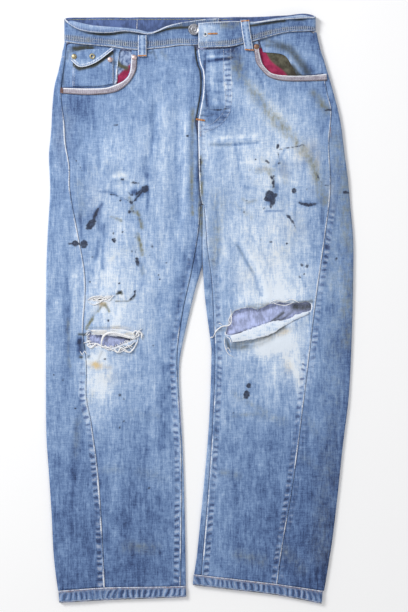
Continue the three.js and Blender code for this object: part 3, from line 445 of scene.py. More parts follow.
# Warm yellow-brown tinge: x, y, reach across, reach along, strength and any turn.
TINGES = [
    (-184, 186, 34, 60, 0.16), (200, 226, 12, 36, 0.25), (-240, 300, 22, 70, 0.2), (234, 210, 14, 50, 0.2),
    (176, 160, 20, 30, 0.14), (-172, 7, 9, 7, 0.9), (-183, -101, 15, 7.5, 1.15, -8),
    (-170, -104, 18, 5, 0.7, -6), (-172, 6, 9, 5, 0.5), (-160, -118, 26, 22, 0.25), (-184, 18, 14, 5, 0.4),
    (156, -104, 12, 22, 0.4, 10), (144, -44, 26, 7, 0.6, 20), (116, -46, 14, 6, 0.5, 18),
    (84, 55, 22, 22, 0.25), (122, 92, 26, 40, 0.22), (208, 262, 8, 26, 0.35), (186, 280, 14, 10, 0.3),
    (-96, 240, 30, 40, 0.1), (-158, 150, 24, 30, 0.14), (-146, -36, 30, 6, 0.5), (170, -128, 20, 30, 0.2),
    (-140, 10, 20, 10, 0.2), (150, 140, 56, 44, 0.2), (188, 276, 22, 36, 0.35, -30), (150, 244, 14, 16, 0.35),
    (112, 246, 14, 5, 0.4),
]
# Dark oil spots: x, y, half width, half length and any turn.
SPOTS = [
    (-115, 221, 8, 2.4, -6), (-97, 210, 8.5, 6.5, 30), (-109, 203, 7, 3, 40), (-120, 200, 3.5, 2.7),
    (-120, 186, 3, 4.6, 30), (-124, 170, 3.2, 3.6, -30), (-117, 171, 2.2, 2.2), (-106, 157, 2.6, 2),
    (-192, 148, 7, 12.5, -40), (-219.5, 114, 6.6, 6.2), (-204, 113, 7.2, 7.6), (-230, 114, 4.4, 2.2),
    (-151, 120, 4, 4.8, 20), (-152, 132, 2.2, 2.2), (-136, 134, 2.3, 2), (-114, 125, 2.2, 2),
    (-120, 100, 2.4, 2.2), (-110, 82, 3.8, 8.6, 14), (-84, 109, 2.6, 4.4, 14), (-88, 93, 2, 2),
    (-59, 80, 2.4, 2.2), (-72, 58, 2.2, 2.2), (-70, 51, 2, 2), (-194, 46, 2.4, 2), (-142, 44, 2.2, 2.2),
    (-141, 28, 5, 3.4), (-21, 304, 3.2, 2.8, 30), (-161, -22, 2.7, 2.4), (-82, -67, 2, 2),
    (-167, -90, 2.6, 2.2), (-141, -154, 3.4, 3), (-134, -160, 2.8, 2.2, -20), (-241, -126, 2.6, 2.4),
    (-257, -118, 2.2, 2.2), (-134, -200, 2.4, 2.4), (-141, -211, 2, 3), (-219, -177, 2.8, 2.4),
    (-148, 323, 5, 2.4, 10), (-136, 227, 3.8, 2.6), (-89, -318, 4, 2.4), (138, 285, 3, 5, -20),
    (120, 258, 5.4, 2.6, -24), (141, 256, 2.8, 3.6, -20), (124, 200, 8, 9, 24), (129, 190, 6, 10, -8),
    (120, 193, 7.5, 5.5), (132, 199, 7, 5, 20), (126, 182, 3, 6), (114, 176, 2.6, 2.4),
    (130, 232, 3.6, 3, 20), (129, 222, 2.2, 4), (167, 207, 4.2, 6, 34), (181, 185, 9, 3, -14),
    (190, 182.5, 9, 4, -4), (200, 183, 9, 3, 6), (258, 204, 6.4, 3.6), (189, 209, 2, 2.2), (89, 229, 2.2, 2),
    (78, 170, 2.6, 2.2), (83, 190, 2.6, 2), (157, 162, 3, 6, 46), (163, 154, 2.6, 7, 32),
    (168, 145, 1.6, 5, 20), (90, 244, 2, 2), (108, 121, 2.2, 2.2), (154, 114, 2.2, 2.2),
    (126, 117, 3.4, 2, -20), (241, 87, 3, 3.2), (181, 76, 5.2, 2.6, -30), (190, 74, 2.6, 4.4),
    (87, -137, 5, 5.2), (83, -153, 6, 8.2, -14), (60, -185, 2, 2.4), (-140, 190, 2.4, 2.2), (184, 60, 2.2, 2),
    (177, 55, 2.8, 2.4), (98, 262, 2.2, 2), (-190, 90, 2.4, 2.2),
]
# Dark thin lines, and one painted shadow line in the gap between the legs: the line's points and half width.
STREAKS = [
    ((141, 281), (152, 282), (170, 285), (184, 288), 1.5), ((-106, 157), (-116, 157), 1),
    ((-104, 203), (-110, 196), (-114, 190), 2.2), ((-124, 199), (-126, 205), 1.2),
    ((-112, 103), (-113, 98), 1), ((141, 262), (137, 280), 1), ((126, 232), (131, 226), (130, 214), 2.4),
    ((-230, 114), (-212, 113), 1.8), ((13, 351), (30, 349), (52, 352), 1.6),
    ((2, 340), (14, 339), (26, 341), 1.5), ((-219, 262), (-206, 241), 1),
    ((-162, 202), (-148, 199), (-132, 193), (-122, 186), 1), ((-180, 174), (-186, 160), 3),
    ((222, 349), (232, 350), 2), ((207, 237), (212, 226), (219, 218), (227, 216), 1.3),
    # the line at x 1 is painted shadow in the gap between the legs
    ((-123, 15), (-115, 22), (-114, 30), 2.2), ((1, 262), (1.5, 240), 1.6),
]
TICK = 13  # spacing of the puckers along a seam
ROPE = 10  # spacing of the twist of a hem
BAND_TICK = 3.4  # spacing of the fine puckers along the waistband
LOOP_TICK = 7  # the same along a belt loop
FLAP_TICK = 3.6  # and along the coin pocket's flap
FLY_STITCH = [(48, 448), (50, 404), (52, 368), (50, 349), (40, 333), (26, 322), (10, 315)]
SEAM_BITS = ([(2, 320), (2, 304)], [(231, 318), (231.5, 302)])
FLY_ROWS = (
    [(42, 455), (42, 404), (46, 368), (44, 351), (35, 337), (24, 327), (8, 320)],
    [(55, 456), (56, 404), (56, 368), (53, 347), (43, 330), (27, 318), (8, 311)],
)
# Folds of the back leg behind the torn knees: the line's points, width and height.
INSIDE_FOLDS = [
    ((52, -47), (91, -33), (133, -22), (155, -8), 6, 1.6), ((60, -18), (100, -14), (140, -4), 7, 1.1),
    ((70, -34), (110, -26), (128, -30), 4, 0.8), ((-196, -56), (-171, -58), (-132, -60), 5, 1.3),
    ((-186, -50), (-150, -54), 4, 0.8),
]
VIEW_HEIGHT = 1083  # how much of the floor the view takes in from top to bottom
# Threads that hang across the tears: the line's points, half thickness and height above the front.
STRANDS = [
    ((-138, -63), (-131, -70), (-122, -66), (-113, -58), 0.7, 1.9),
    ((-134, -74), (-126, -66), (-117, -69), 0.7, 2.1), ((-150, -72), (-142, -69), (-136, -76), 0.7, 1.8),
    ((-128, -62), (-124, -69), (-119, -74), 0.6, 1.7),
    ((-174, -69), (-172, -56), (-167, -47), (-156, -43.5), (-140, -46), (-127, -50), (-114, -52), 2.1, 3.4),
    ((-160, -46), (-146, -47), (-130, -51), (-114, -54), 1.5, 3),
    ((-113, -50), (-108, -42), (-102, -45), (-103, -54), 1.7, 3.2),
    ((-199, -65), (-192, -70), (-182, -63), (-172, -68), (-160, -70), (-152, -76), 1.5, 2),
    ((-153, -74), (-144, -78), (-139, -70), (-132, -73), (-124, -78), (-116, -71), (-111, -60), 1.3, 2.2),
    ((-139, -71), (-132, -76), (-124, -78), (-116, -71), (-110, -60), (-108, -52), 1, 1.8),
    ((-150, -72), (-144, -78), (-138, -74), 0.8, 1.6),
    ((-199, -65), (-188, -62), (-178, -64), (-172, -68), 1, 1.7),
    ((-172, -68), (-160, -74), (-153, -72), (-143, -78), (-131, -74), 0.8, 1.9),
    ((-198, -38), (-185, -40), (-170, -41), (-158, -38), 0.9, 2.4),
    ((-120, -47), (-112, -40), (-107, -48), (-113, -52), 1.4, 2.8),
    ((-116, -42), (-108, -40), (-101, -36), 0.7, 2), ((-110, -46), (-103, -47), (-99, -50), 0.7, 2),
    ((-211, -76), (-207, -82), (-203, -76), (-199, -82), 0.8, 1.4),
    ((-206, -62), (-198, -60), (-190, -58), 0.6, 1.6),
    ((55, -2), (56, -16), (55, -27), (50, -31), (41, -32), (34, -36), (29, -41), (24, -51), 1.2, 1.9),
    ((56, -10), (52, -20), (54, -28), 0.8, 2.4), ((40, -30), (36, -27), (33, -28), 0.7, 1.8),
    ((24, -51), (19, -52), 1.3, 1.6), ((45, -50), (44, -60), (46, -72), (52, -82), (60, -86), 0.7, 1.5),
    ((47, -50), (53, -54), (56, -62), 0.8, 1.8), ((46, -76), (50, -70), (55, -78), 0.6, 1.5),
    ((122, 9), (135, 14), (150, 12), (163, 15), (176, 9), 0.8, 2.6),
    ((125, 11), (140, 6), (152, 5), (166, 10), 0.7, 1.6),
    ((-198, 14), (-190, 19), (-180, 21), (-171, 20), (-160, 12), 1, 1.9),
    ((-197, 11), (-188, 6), (-178, 9), (-168, 15), (-160, 12), 0.9, 1.7),
    ((-160, 12), (-154, 20), (-150, 23), 0.7, 1.8),
]
LOOSE_RUNS = np.linspace(0, 1, 30)
BACK_LOOPS = [-150, 2, 152]
LOOP_RIGHT = [(-101, 443, 10.4), (-101, 452, 11.2), (-101, 459, 12.8), (-101, 470, 13.6), (-101, 480, 14.6)]
LOOP_LEFT = [
    (87, 455, 10.4), (86, 463, 12), (84.5, 470, 13.7), (82, 486, 14.5), (80, 503, 16), (79.5, 507, 16.4),
]
BUTTON_PLACE = (-10, 490.5)
KEYHOLE = (10, 481.6)
# Turned metal: half width and height along each outline.
BUTTON = [
    (0, 0), (4, 0), (4, 1.2), (8.4, 1.4), (9.6, 1.9), (10, 2.6), (9.7, 3.4), (9, 3.9), (8.1, 3.9), (7.3, 3.5),
    (6.6, 3), (5.4, 2.8), (4.6, 3.2), (3.8, 3.4), (3, 3), (1.4, 2.8), (0, 2.8),
]
RIVET = [(0, 0), (4.6, 0), (4.7, 0.5), (4.2, 1), (3, 1.35), (2.3, 1.9), (1.4, 2.1), (0, 2)]
EYELET = [(2.1, 0), (5, 0), (4.9, 0.7), (4.4, 1.3), (3.6, 1.6), (2.8, 1.4), (2.2, 0.8), (2.1, 0)]

# ---- curves ----


def smooth(low, high, t):
    t = np.clip((t - low) / (high - low), 0, 1)
    return t * t * (3 - 2 * t)


def mix(a, b, t):
    return a + (b - a) * t


def through(points, key):
    """A smooth function through points, of the column "key"."""
    points = sorted(points, key=lambda p: p[key])
    t = np.array([p[key] for p in points], float)
    v = np.array([p[1 - key] for p in points], float)
    before = np.maximum(np.arange(len(t)) - 1, 0)
    after = np.minimum(np.arange(len(t)) + 1, len(t) - 1)
    slope = (v[after] - v[before]) / (t[after] - t[before])

    def value(at):
        x = np.clip(at, t[0], t[-1])
        i = np.clip(np.searchsorted(t, x) - 1, 0, len(t) - 2)
        h = t[i + 1] - t[i]
        s = (x - t[i]) / h
        start = (1 + 2 * s) * (1 - s) ** 2 * v[i] + s * (1 - s) ** 2 * h * slope[i]
        return start + s * s * (3 - 2 * s) * v[i + 1] + s * s * (s - 1) * h * slope[i + 1]

    return value


def bend(p0, p1, p2, p3, f):
    """The point at f from p1 to p2 on a centripetal Catmull-Rom curve."""
    d01, d12, d23 = (
        np.maximum(np.linalg.norm(b - a, axis=-1, keepdims=True), 1e-6) ** 0.5
        for a, b in ((p0, p1), (p1, p2), (p2, p3))
    )
    m1 = ((p1 - p0) / d01 - (p2 - p0) / (d01 + d12) + (p2 - p1) / d12) * d12
    m2 = ((p2 - p1) / d12 - (p3 - p1) / (d12 + d23) + (p3 - p2) / d23) * d12
    return (
        (2 * f**3 - 3 * f**2 + 1) * p1 + (f**3 - 2 * f**2 + f) * m1
        + (3 * f**2 - 2 * f**3) * p2 + (f**3 - f**2) * m2
    )


def curve(points, t):
    """Points at the fractions t along a smooth curve through points."""
    p = np.array(points, float)
    p = np.vstack([2 * p[0] - p[1], p, 2 * p[-1] - p[-2]])
    s = np.clip(np.asarray(t, float) * (len(p) - 3), 0, len(p) - 3 - 1e-9)
    i = s.astype(int)
    return bend(p[i], p[i + 1], p[i + 2], p[i + 3], (s - i)[:, None])


def lengths(points):
    """Distance run along a line at each of its points."""
    steps = np.linalg.norm(np.diff(points, axis=0), axis=1)
    return np.concatenate([[0], np.cumsum(steps)])


def evenly(points, step):
    """The smooth curve through points, with points every step along it."""
    fine = curve(points, np.linspace(0, 1, 40 * len(points)))
    run = lengths(fine)
    at = np.linspace(0, run[-1], max(int(run[-1] / step), 2) + 1)
    return np.stack([np.interp(at, run, fine[:, k]) for k in range(fine.shape[1])], 1)


def distance(x, y, points):
    """Distance from each x, y to the open line through points."""
    best = np.full(np.shape(x), np.inf)
    for (ax, ay), (bx, by) in zip(points, points[1:]):
        dx, dy = bx - ax, by - ay
        t = np.clip(((x - ax) * dx + (y - ay) * dy) / (dx * dx + dy * dy), 0, 1)
        best = np.minimum(best, np.hypot(x - ax - t * dx, y - ay - t * dy))
    return best


def oval(x, y, cx, cy, across, along, turn=0):
    """1 on the rim of a turned ellipse, less inside it."""
    c, s = math.cos(math.radians(turn)), math.sin(math.radians(turn))
    u = ((x - cx) * c + (y - cy) * s) / across
    v = ((y - cy) * c - (x - cx) * s) / along
    return np.hypot(u, v)


def soft(x, y, points, width):
    """1 on the line through points, fading away over about twice the width."""
    return np.exp(-((distance(x, y, points) / width) ** 2))


def added(x, y, lines, total=0, share=1):
    """The total with the heights or amounts of a table of soft lines added."""
    for *points, width, amount in lines:
        total = total + share * amount * soft(x, y, points, width)
    return total


def deepest(x, y, lines, least=0):
    """The greatest strength of a table of soft lines, or least where that is more."""
    for *points, width, strength in lines:
        least = np.maximum(least, strength * soft(x, y, points, width))
    return least


def ovals(x, y, table):
    """The strength of each soft oval of a table in turn."""
    for cx, cy, across, along, amount, *turn in table:
        yield amount * np.exp(-(oval(x, y, cx, cy, across, along, *turn) ** 2))


def lattice(x, y, across, along, seed):
    """Smooth noise between -1 and 1, with cells of the given size."""
    table = np.random.default_rng(SEED + seed).uniform(-1, 1, (NOISE_CELLS, NOISE_CELLS))
    u, v = x / across + 500, y / along + 500
    i, j = np.floor(u).astype(int), np.floor(v).astype(int)
    f, g = smooth(0, 1, u - i), smooth(0, 1, v - j)
    i, j, i1, j1 = (k % NOISE_CELLS for k in (i, j, i + 1, j + 1))
    return mix(mix(table[i, j], table[i1, j], f), mix(table[i, j1], table[i1, j1], f), g)


def on_sides(table, key):
    """The smooth function through each side's points."""
    return {side: through(table[side], key) for side in NAMES}


outer, side_seam, inseam, inner = (on_sides(table, 1) for table in (OUTER, SIDE_SEAM, INSEAM, INNER))
hem_top, hem_edge, fade_down, fade_thigh, fade_shin = (
    on_sides(table, 0) for table in (HEM_TOP, HEM_EDGE, FADE_DOWN, FADE_ACROSS_THIGH, FADE_ACROSS_SHIN)
)
fly_edge = through(FLY_EDGE, 1)
waist_seam, back_waist_seam = through(WAIST_SEAM, 0), through(BACK_WAIST_SEAM, 0)
yoke_share = through(YOKE_SHARE, 0)


# ---- heights ----


def hip_lift(y):
    return HIP_LIFT * smooth(185, 235, y)


def bottom(y):
    return LEG_BOTTOM + hip_lift(y)


def top(x, y):
    """Height of the middle of the front wall, with its folds, creases and small waves."""
    calm = smooth(470, 430, y)
    z = added(x, y, FOLDS, LEG_TOP + hip_lift(y) + POCKET_LIFT * smooth(300, 380, y))
    z = added(x, y, LIFTS, added(x, y, CREASES, z, calm))
    waves = 0.55 * lattice(x, y, 34, 60, 1) + 0.3 * lattice(x, y, 15, 26, 2) + 0.12 * lattice(x, y, 7, 9, 3)
    return z + calm * waves


# ---- wear ----


def wear(x, y):
    """How the outside of the front has faded, soiled, yellowed and been spotted at each x, y, with painted
    shade down the middle between the legs among these marks.
    """
    right, left = (
        fade_down[side](y)
        + mix(fade_shin[side](x), fade_thigh[side](x), smooth(-200, -60, y) * smooth(470, 350, y))
        for side in (RIGHT, LEFT)
    )
    fade = np.where(x < fly_edge(np.maximum(y, CROTCH)), right, left)
    for amount in ovals(x, y, FADES):
        fade = fade + amount
    fade = added(x, y, SMEARS, fade, 1 + 0.7 * lattice(x, y, 9, 13, 13))
    fade = fade + 0.06 * lattice(x, y, 18, 34, 11) + 0.05 * lattice(x, y, 6, 12, 12)
    tinge, spot = np.zeros(np.shape(x)), np.full(np.shape(x), float(CLEAN))
    for strength in ovals(x, y, TINGES):
        tinge = np.maximum(tinge, strength)
    for shape in SPOTS:
        spot = np.maximum(spot, (1 - oval(x, y, *shape)) * min(shape[2], shape[3]))
    for *points, half in STREAKS:
        spot = np.maximum(spot, half - distance(x, y, points))
    return {"fade": fade, "soil": deepest(x, y, SOILING), "tinge": tinge, "spot": spot}


# ---- meshes ----


def link(name, mesh, material, nodes=()):
    """Puts a finished mesh in the scene as a piece of the garment."""
    piece = bpy.data.objects.new(name, mesh)
    bpy.context.scene.collection.objects.link(piece)
    mesh.materials.clear()
    mesh.materials.append(material)
    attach(piece, "root")
    if nodes:
        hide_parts(*nodes)
    return piece


def mesh_of(name, points, faces, attributes):
    """A smooth mesh from points in millimetres and an array of four-sided faces."""
    mesh = bpy.data.meshes.new(name)
    mesh.vertices.add(len(points))
    mesh.vertices.foreach_set("co", (np.asarray(points) * MM).astype(np.float32).ravel())
    mesh.loops.add(faces.size)
    mesh.loops.foreach_set("vertex_index", faces.astype(np.int32).ravel())
    mesh.polygons.add(len(faces))
    mesh.polygons.foreach_set("loop_start", np.arange(0, faces.size, 4, dtype=np.int32))
    mesh.polygons.foreach_set("use_smooth", np.ones(len(faces), bool))
    mesh.update(calc_edges=True)
    mesh.validate()
    for key, values in attributes.items():
        attribute = mesh.attributes.new(key, "FLOAT", "POINT")
        attribute.data.foreach_set("value", np.asarray(values, np.float32).ravel())
    return mesh


def beside(grid, axis, step, ring=False):
    """Each point's neighbour in the grid, or the point itself where there is none."""
    moved = np.roll(grid, -step, axis)
    if not (ring and axis == 1):
        edge = -1 if step > 0 else 0
        where = [slice(None)] * 3
        where[axis] = edge
        moved[tuple(where)] = grid[tuple(where)]
    return np.where(np.isnan(moved), grid, moved)


def normals(grid, ring=False):
    """The direction square to the cloth at each point of a grid."""
    normal = np.cross(
        beside(grid, 1, 1, ring) - beside(grid, 1, -1, ring), beside(grid, 0, 1) - beside(grid, 0, -1)
    )
    return normal / np.maximum(np.linalg.norm(normal, axis=2, keepdims=True), 1e-9)


def lay(name, grid, wall, material, marks, cut=None, ring=False, up=(1, 4)):
    """A closed wall of cloth that lies flat, round a grid of points (rows, columns, 3), with nan or cut faces
    where there is no cloth. Its outside is the side that faces up at the grid place "up". A mark is a value
    for both sides or a pair of values, for the outside and the inside."""
    rows, columns = grid.shape[:2]
    normal = normals(grid, ring)
    facing = 1 if normal[up][2] > 0 else -1
    index = np.arange(rows * columns).reshape(rows, columns)
    wide = np.roll(index, -1, 1) if ring else index[:, 1:]
    here = index if ring else index[:, :-1]
    quads = np.stack([here[:-1], wide[:-1], wide[1:], here[1:]], -1).reshape(-1, 4)
    keep = ~np.isnan(grid.reshape(-1, 3)[quads]).any((1, 2))
    if cut is not None:
        keep &= ~cut.ravel()
    quads = quads[keep] if facing > 0 else quads[keep][:, ::-1]
    start, end = quads.ravel(), np.roll(quads, -1, 1).ravel()
    rim = ~np.isin(start * grid.size + end, end * grid.size + start)
    used, place = np.unique(quads, return_inverse=True)
    place = place.reshape(quads.shape)
    renumber = np.zeros(rows * columns, int)
    renumber[used] = np.arange(len(used))
    start, end = renumber[start[rim]], renumber[end[rim]]
    edge = np.stack([end, start, start + len(used), end + len(used)], 1)
    middle = grid.reshape(-1, 3)[used]
    offset = (wall / 2 * normal * facing).reshape(-1, 3)[used]
    spread = {}
    for key, values in {"inside": (0, 1), **marks}.items():
        pair = values if isinstance(values, tuple) else (values, values)
        spread[key] = np.concatenate([np.broadcast_to(v, (rows, columns)).ravel()[used] for v in pair])
    faces = np.vstack([place, place[:, ::-1] + len(used), edge])
    mesh = mesh_of(name, np.vstack([middle + offset, middle - offset]), faces, spread)
    piece = link(name, mesh, material, [name])
    flat, area = cut_size(grid, ring)


def cut_size(grid, ring):
    """Width and length, and area, in metres, of the flat cloth that a grid stands for."""
    def size(steps):
        return np.nan_to_num(np.linalg.norm(steps, axis=-1))

    width = size(np.diff(grid, axis=1, append=grid[:, :1] if ring else grid[:, -1:])).sum(1).max()
    length = size(np.diff(grid, axis=0)).sum(0).max()
    corner = grid[:-1, :-1]
    area = size(np.cross(grid[:-1, 1:] - corner, grid[1:, :-1] - corner)).sum()
    width, length = max(width * MM, LEAST_CUT), max(length * MM, LEAST_CUT)
    area = np.clip(area * MM * MM, LEAST_SHARE * width * length, width * length)
    return (float(width), float(length)), float(area)


def spaced(length, fine, steps, coarse):
    """Fractions along a length, close together near both ends and coarse between."""
    near = np.cumsum(np.geomspace(fine, coarse, steps))
    middle = np.linspace(near[-1], length - near[-1], max(int((length - 2 * near[-1]) / coarse), 2) + 1)
    return np.concatenate([[0], near[:-1], middle, length - near[:-1][::-1], [length]]) / length


def inside_of(x, y, outline):
    """True where x, y is inside a closed outline."""
    hit = np.zeros(np.shape(x), bool)
    for (ax, ay), (bx, by) in zip(outline, np.roll(outline, -1, 0)):
        if ay == by:
            continue
        crosses = (ay > y) != (by > y)
        hit ^= crosses & (x < (bx - ax) * (y - ay) / (by - ay) + ax)
    return hit


def nearest(x, y, outline):
    """The nearest point of a closed outline to each x, y."""
    best, bx_, by_ = np.full(len(x), np.inf), x.copy(), y.copy()
    for (ax, ay), (bx, by) in zip(outline, np.roll(outline, -1, 0)):
        dx, dy = bx - ax, by - ay
        t = np.clip(((x - ax) * dx + (y - ay) * dy) / max(dx * dx + dy * dy, 1e-9), 0, 1)
        px, py = ax + t * dx, ay + t * dy
        far = np.hypot(x - px, y - py)
        closer = far < best
        best = np.where(closer, far, best)
        bx_, by_ = np.where(closer, px, bx_), np.where(closer, py, by_)
    return bx_, by_


def ragged(points, amount, seed):
    """A closed outline with the small ins and outs of torn cloth."""
    fine = evenly(points + points[:1], 2)[:-1]
    fine[:, 0] += amount * lattice(fine[:, 0], fine[:, 1], 4, 4, seed)
    fine[:, 1] += amount * lattice(fine[:, 0] + 90, fine[:, 1], 4, 4, seed + 1)
    return fine


def tube(points, radius, sides=6):
    """Points and faces of a round thread along a line, tapered at both ends."""
    line = np.asarray(points, float)
    ahead = np.gradient(line, axis=0)
    ahead /= np.maximum(np.linalg.norm(ahead, axis=1, keepdims=True), 1e-9)
    side = np.cross(ahead, [0.12, 0.07, 1.0])
    side /= np.maximum(np.linalg.norm(side, axis=1, keepdims=True), 1e-9)
    rise = np.cross(side, ahead)
    taper = np.minimum(1, 0.35 + 3 * np.minimum(np.linspace(0, 1, len(line)), np.linspace(1, 0, len(line))))
    angle = np.arange(sides) * 2 * math.pi / sides
    ring = side[:, None] * np.cos(angle)[:, None] + rise[:, None] * np.sin(angle)[:, None]
    body = line[:, None] + ring * (radius * taper)[:, None, None]
    index = np.arange(len(line) * sides).reshape(len(line), sides)
    after = np.roll(index, -1, 1)
    faces = np.stack([index[1:], after[1:], after[:-1], index[:-1]], -1).reshape(-1, 4)
    caps = []
    for row, order in ((index[0], 1), (index[-1], -1)):
        for k in range(0, sides - 2, 2):
            caps.append([row[0], row[k + 1], row[k + 2], row[(k + 3) % sides]][::order])
    return body.reshape(-1, 3), np.vstack([faces, caps])


def join_tubes(name, tubes, material):
    """One piece from many (points, faces) pairs."""
    points, faces, count = [], [], 0
    for p, f in tubes:
        points.append(p)
        faces.append(f + count)
        count += len(p)
    mesh = mesh_of(name, np.vstack(points), np.vstack(faces), {})
    return link(name, mesh, material)


def lathe(name, profile, place, material, segments=40):
    """A turned metal piece from [radius, height] points, standing at place."""
    line = np.array(profile, float)
    angle = np.arange(segments) * 2 * math.pi / segments
    body = np.stack([
        line[:, :1] * np.cos(angle), line[:, :1] * np.sin(angle), np.repeat(line[:, 1:], segments, 1)
    ], -1)
    index = np.arange(len(line) * segments).reshape(len(line), segments)
    after = np.roll(index, -1, 1)
    faces = np.stack([index[:-1], after[:-1], after[1:], index[1:]], -1).reshape(-1, 4)
    mesh = mesh_of(name, body.reshape(-1, 3) + np.array(place), faces, {})
    shape = bmesh.new()
    shape.from_mesh(mesh)
    bmesh.ops.remove_doubles(shape, verts=shape.verts, dist=1e-6)
    bmesh.ops.recalc_face_normals(shape, faces=shape.faces)
    shape.to_mesh(mesh)
    shape.free()
    mesh.polygons.foreach_set("use_smooth", np.ones(len(mesh.polygons), bool))
    link(name, mesh, material, [name])


# ---- finishes ----


class Nodes:
    """A net of nodes, built one node at a time."""

    def __init__(self, net):
        self.net = net

    def node(self, kind, settings=None, sockets=None):
        node = self.net.nodes.new(kind)
        for key, value in (settings or {}).items():
            if key == "stops":
                ramp = node.color_ramp.elements
                while len(ramp) < len(value):
                    ramp.new(0.5)
                for stop, (at, colour) in zip(ramp, value):
                    stop.position, stop.color = at, (*colour, 1)
            else:
                setattr(node, key, value)
        for key, value in (sockets or {}).items():
            value = value.socket if isinstance(value, Value) else value
            if isinstance(value, bpy.types.NodeSocket):
                self.net.links.new(value, node.inputs[key])
            else:
                node.inputs[key].default_value = value
        return node


class Value:
    """A number socket of a finish; sums on it add Math nodes."""

    def __init__(self, finish, socket):
        self.finish, self.socket = finish, socket

    def __add__(self, other):
        return self.finish.math("ADD", self, other)

    def __sub__(self, other):
        return self.finish.math("SUBTRACT", self, other)

    def __rsub__(self, other):
        return self.finish.math("SUBTRACT", other, self)

    def __mul__(self, other):
        return self.finish.math("MULTIPLY", self, other)

    __radd__ = __add__

    def smooth(self, low, high):
        """0 below low, 1 above high, soft between."""
        node = self.finish.node("ShaderNodeMapRange", {"interpolation_type": "SMOOTHSTEP"},
                                {"Value": self, "From Min": low, "From Max": high})
        return Value(self.finish, node.outputs[0])


def opaque(colour):
    """A plain colour with its fourth number; a socket as it is."""
    return (*colour, 1) if isinstance(colour, tuple) else colour


class Finish(Nodes):
    """A material made of nodes."""

    def __init__(self, name):
        self.material = bpy.data.materials.new(name)
        self.material.use_nodes = True
        super().__init__(self.material.node_tree)
        self.net.nodes.clear()
        self.place = self.node("ShaderNodeTexCoord").outputs["Object"]

    def math(self, operation, *values):
        node = self.node("ShaderNodeMath", {"operation": operation}, dict(enumerate(values)))
        return Value(self, node.outputs[0])

    def attribute(self, name):
        return Value(self, self.node("ShaderNodeAttribute", {"attribute_name": name}).outputs["Fac"])

    def noise(self, size, detail=2):
        """Noise around 0 with features of size millimetres, or (x, y, z) millimetres."""
        size = size if isinstance(size, tuple) else (size, size, size)
        scaled = self.node("ShaderNodeMapping", {}, {
            "Vector": self.place, "Scale": tuple(1 / (s * MM) for s in size)})
        node = self.node("ShaderNodeTexNoise", {}, {
            "Vector": scaled.outputs[0], "Scale": 1, "Detail": detail, "Roughness": 0.55})
        return Value(self, node.outputs[0]) - 0.5

    def mix(self, factor, a, b):
        sockets = {0: factor, 6: opaque(a), 7: opaque(b)}
        return self.node("ShaderNodeMix", {"data_type": "RGBA"}, sockets).outputs[2]

    def output(self, colour, rough, height=None, depth=0.3, metallic=0, specular=0.2):
        sockets = {"Base Color": opaque(colour), "Roughness": rough, "Metallic": metallic,
                   "Specular IOR Level": specular}
        if height is not None:
            sockets["Normal"] = self.node("ShaderNodeBump", {}, {
                "Height": height, "Distance": depth * MM, "Strength": 1}).outputs[0]
        surface = self.node("ShaderNodeBsdfPrincipled", {}, sockets)
        self.node("ShaderNodeOutputMaterial", {}, {"Surface": surface.outputs[0]})
        return self.material


def rgb(*screen):
    """Linear colour from 0-255 screen values."""
    return tuple(((c / 255 + 0.055) / 1.055) ** 2.4 if c > 10 else c / 255 / 12.92 for c in screen)


INDIGO = [  # from unfaded to worn white
    (0.00, rgb(46, 60, 94)), (0.18, rgb(72, 94, 136)), (0.36, rgb(100, 126, 168)), (0.55, rgb(130, 156, 194)),
    (0.72, rgb(160, 182, 213)), (0.88, rgb(192, 208, 229)), (1.0, rgb(218, 227, 238)),
]
NAVY = rgb(44, 54, 88)
RUNG = rgb(74, 92, 138)
# dark olive of painted shade and shadow, and of dark stains
SHADE_AND_STAIN_OLIVE = rgb(58, 60, 50)
WORN_WHITE = rgb(226, 232, 243)
# grey-olive of soiling, also of the painted shade between the legs
SOIL_GREY = rgb(116, 118, 101)
WARM = rgb(208, 186, 143)
# oil spots, also the painted shadow line between the legs
OIL = rgb(52, 58, 76)
REVERSE = rgb(168, 178, 216)
BAND_REVERSE = rgb(84, 102, 146)


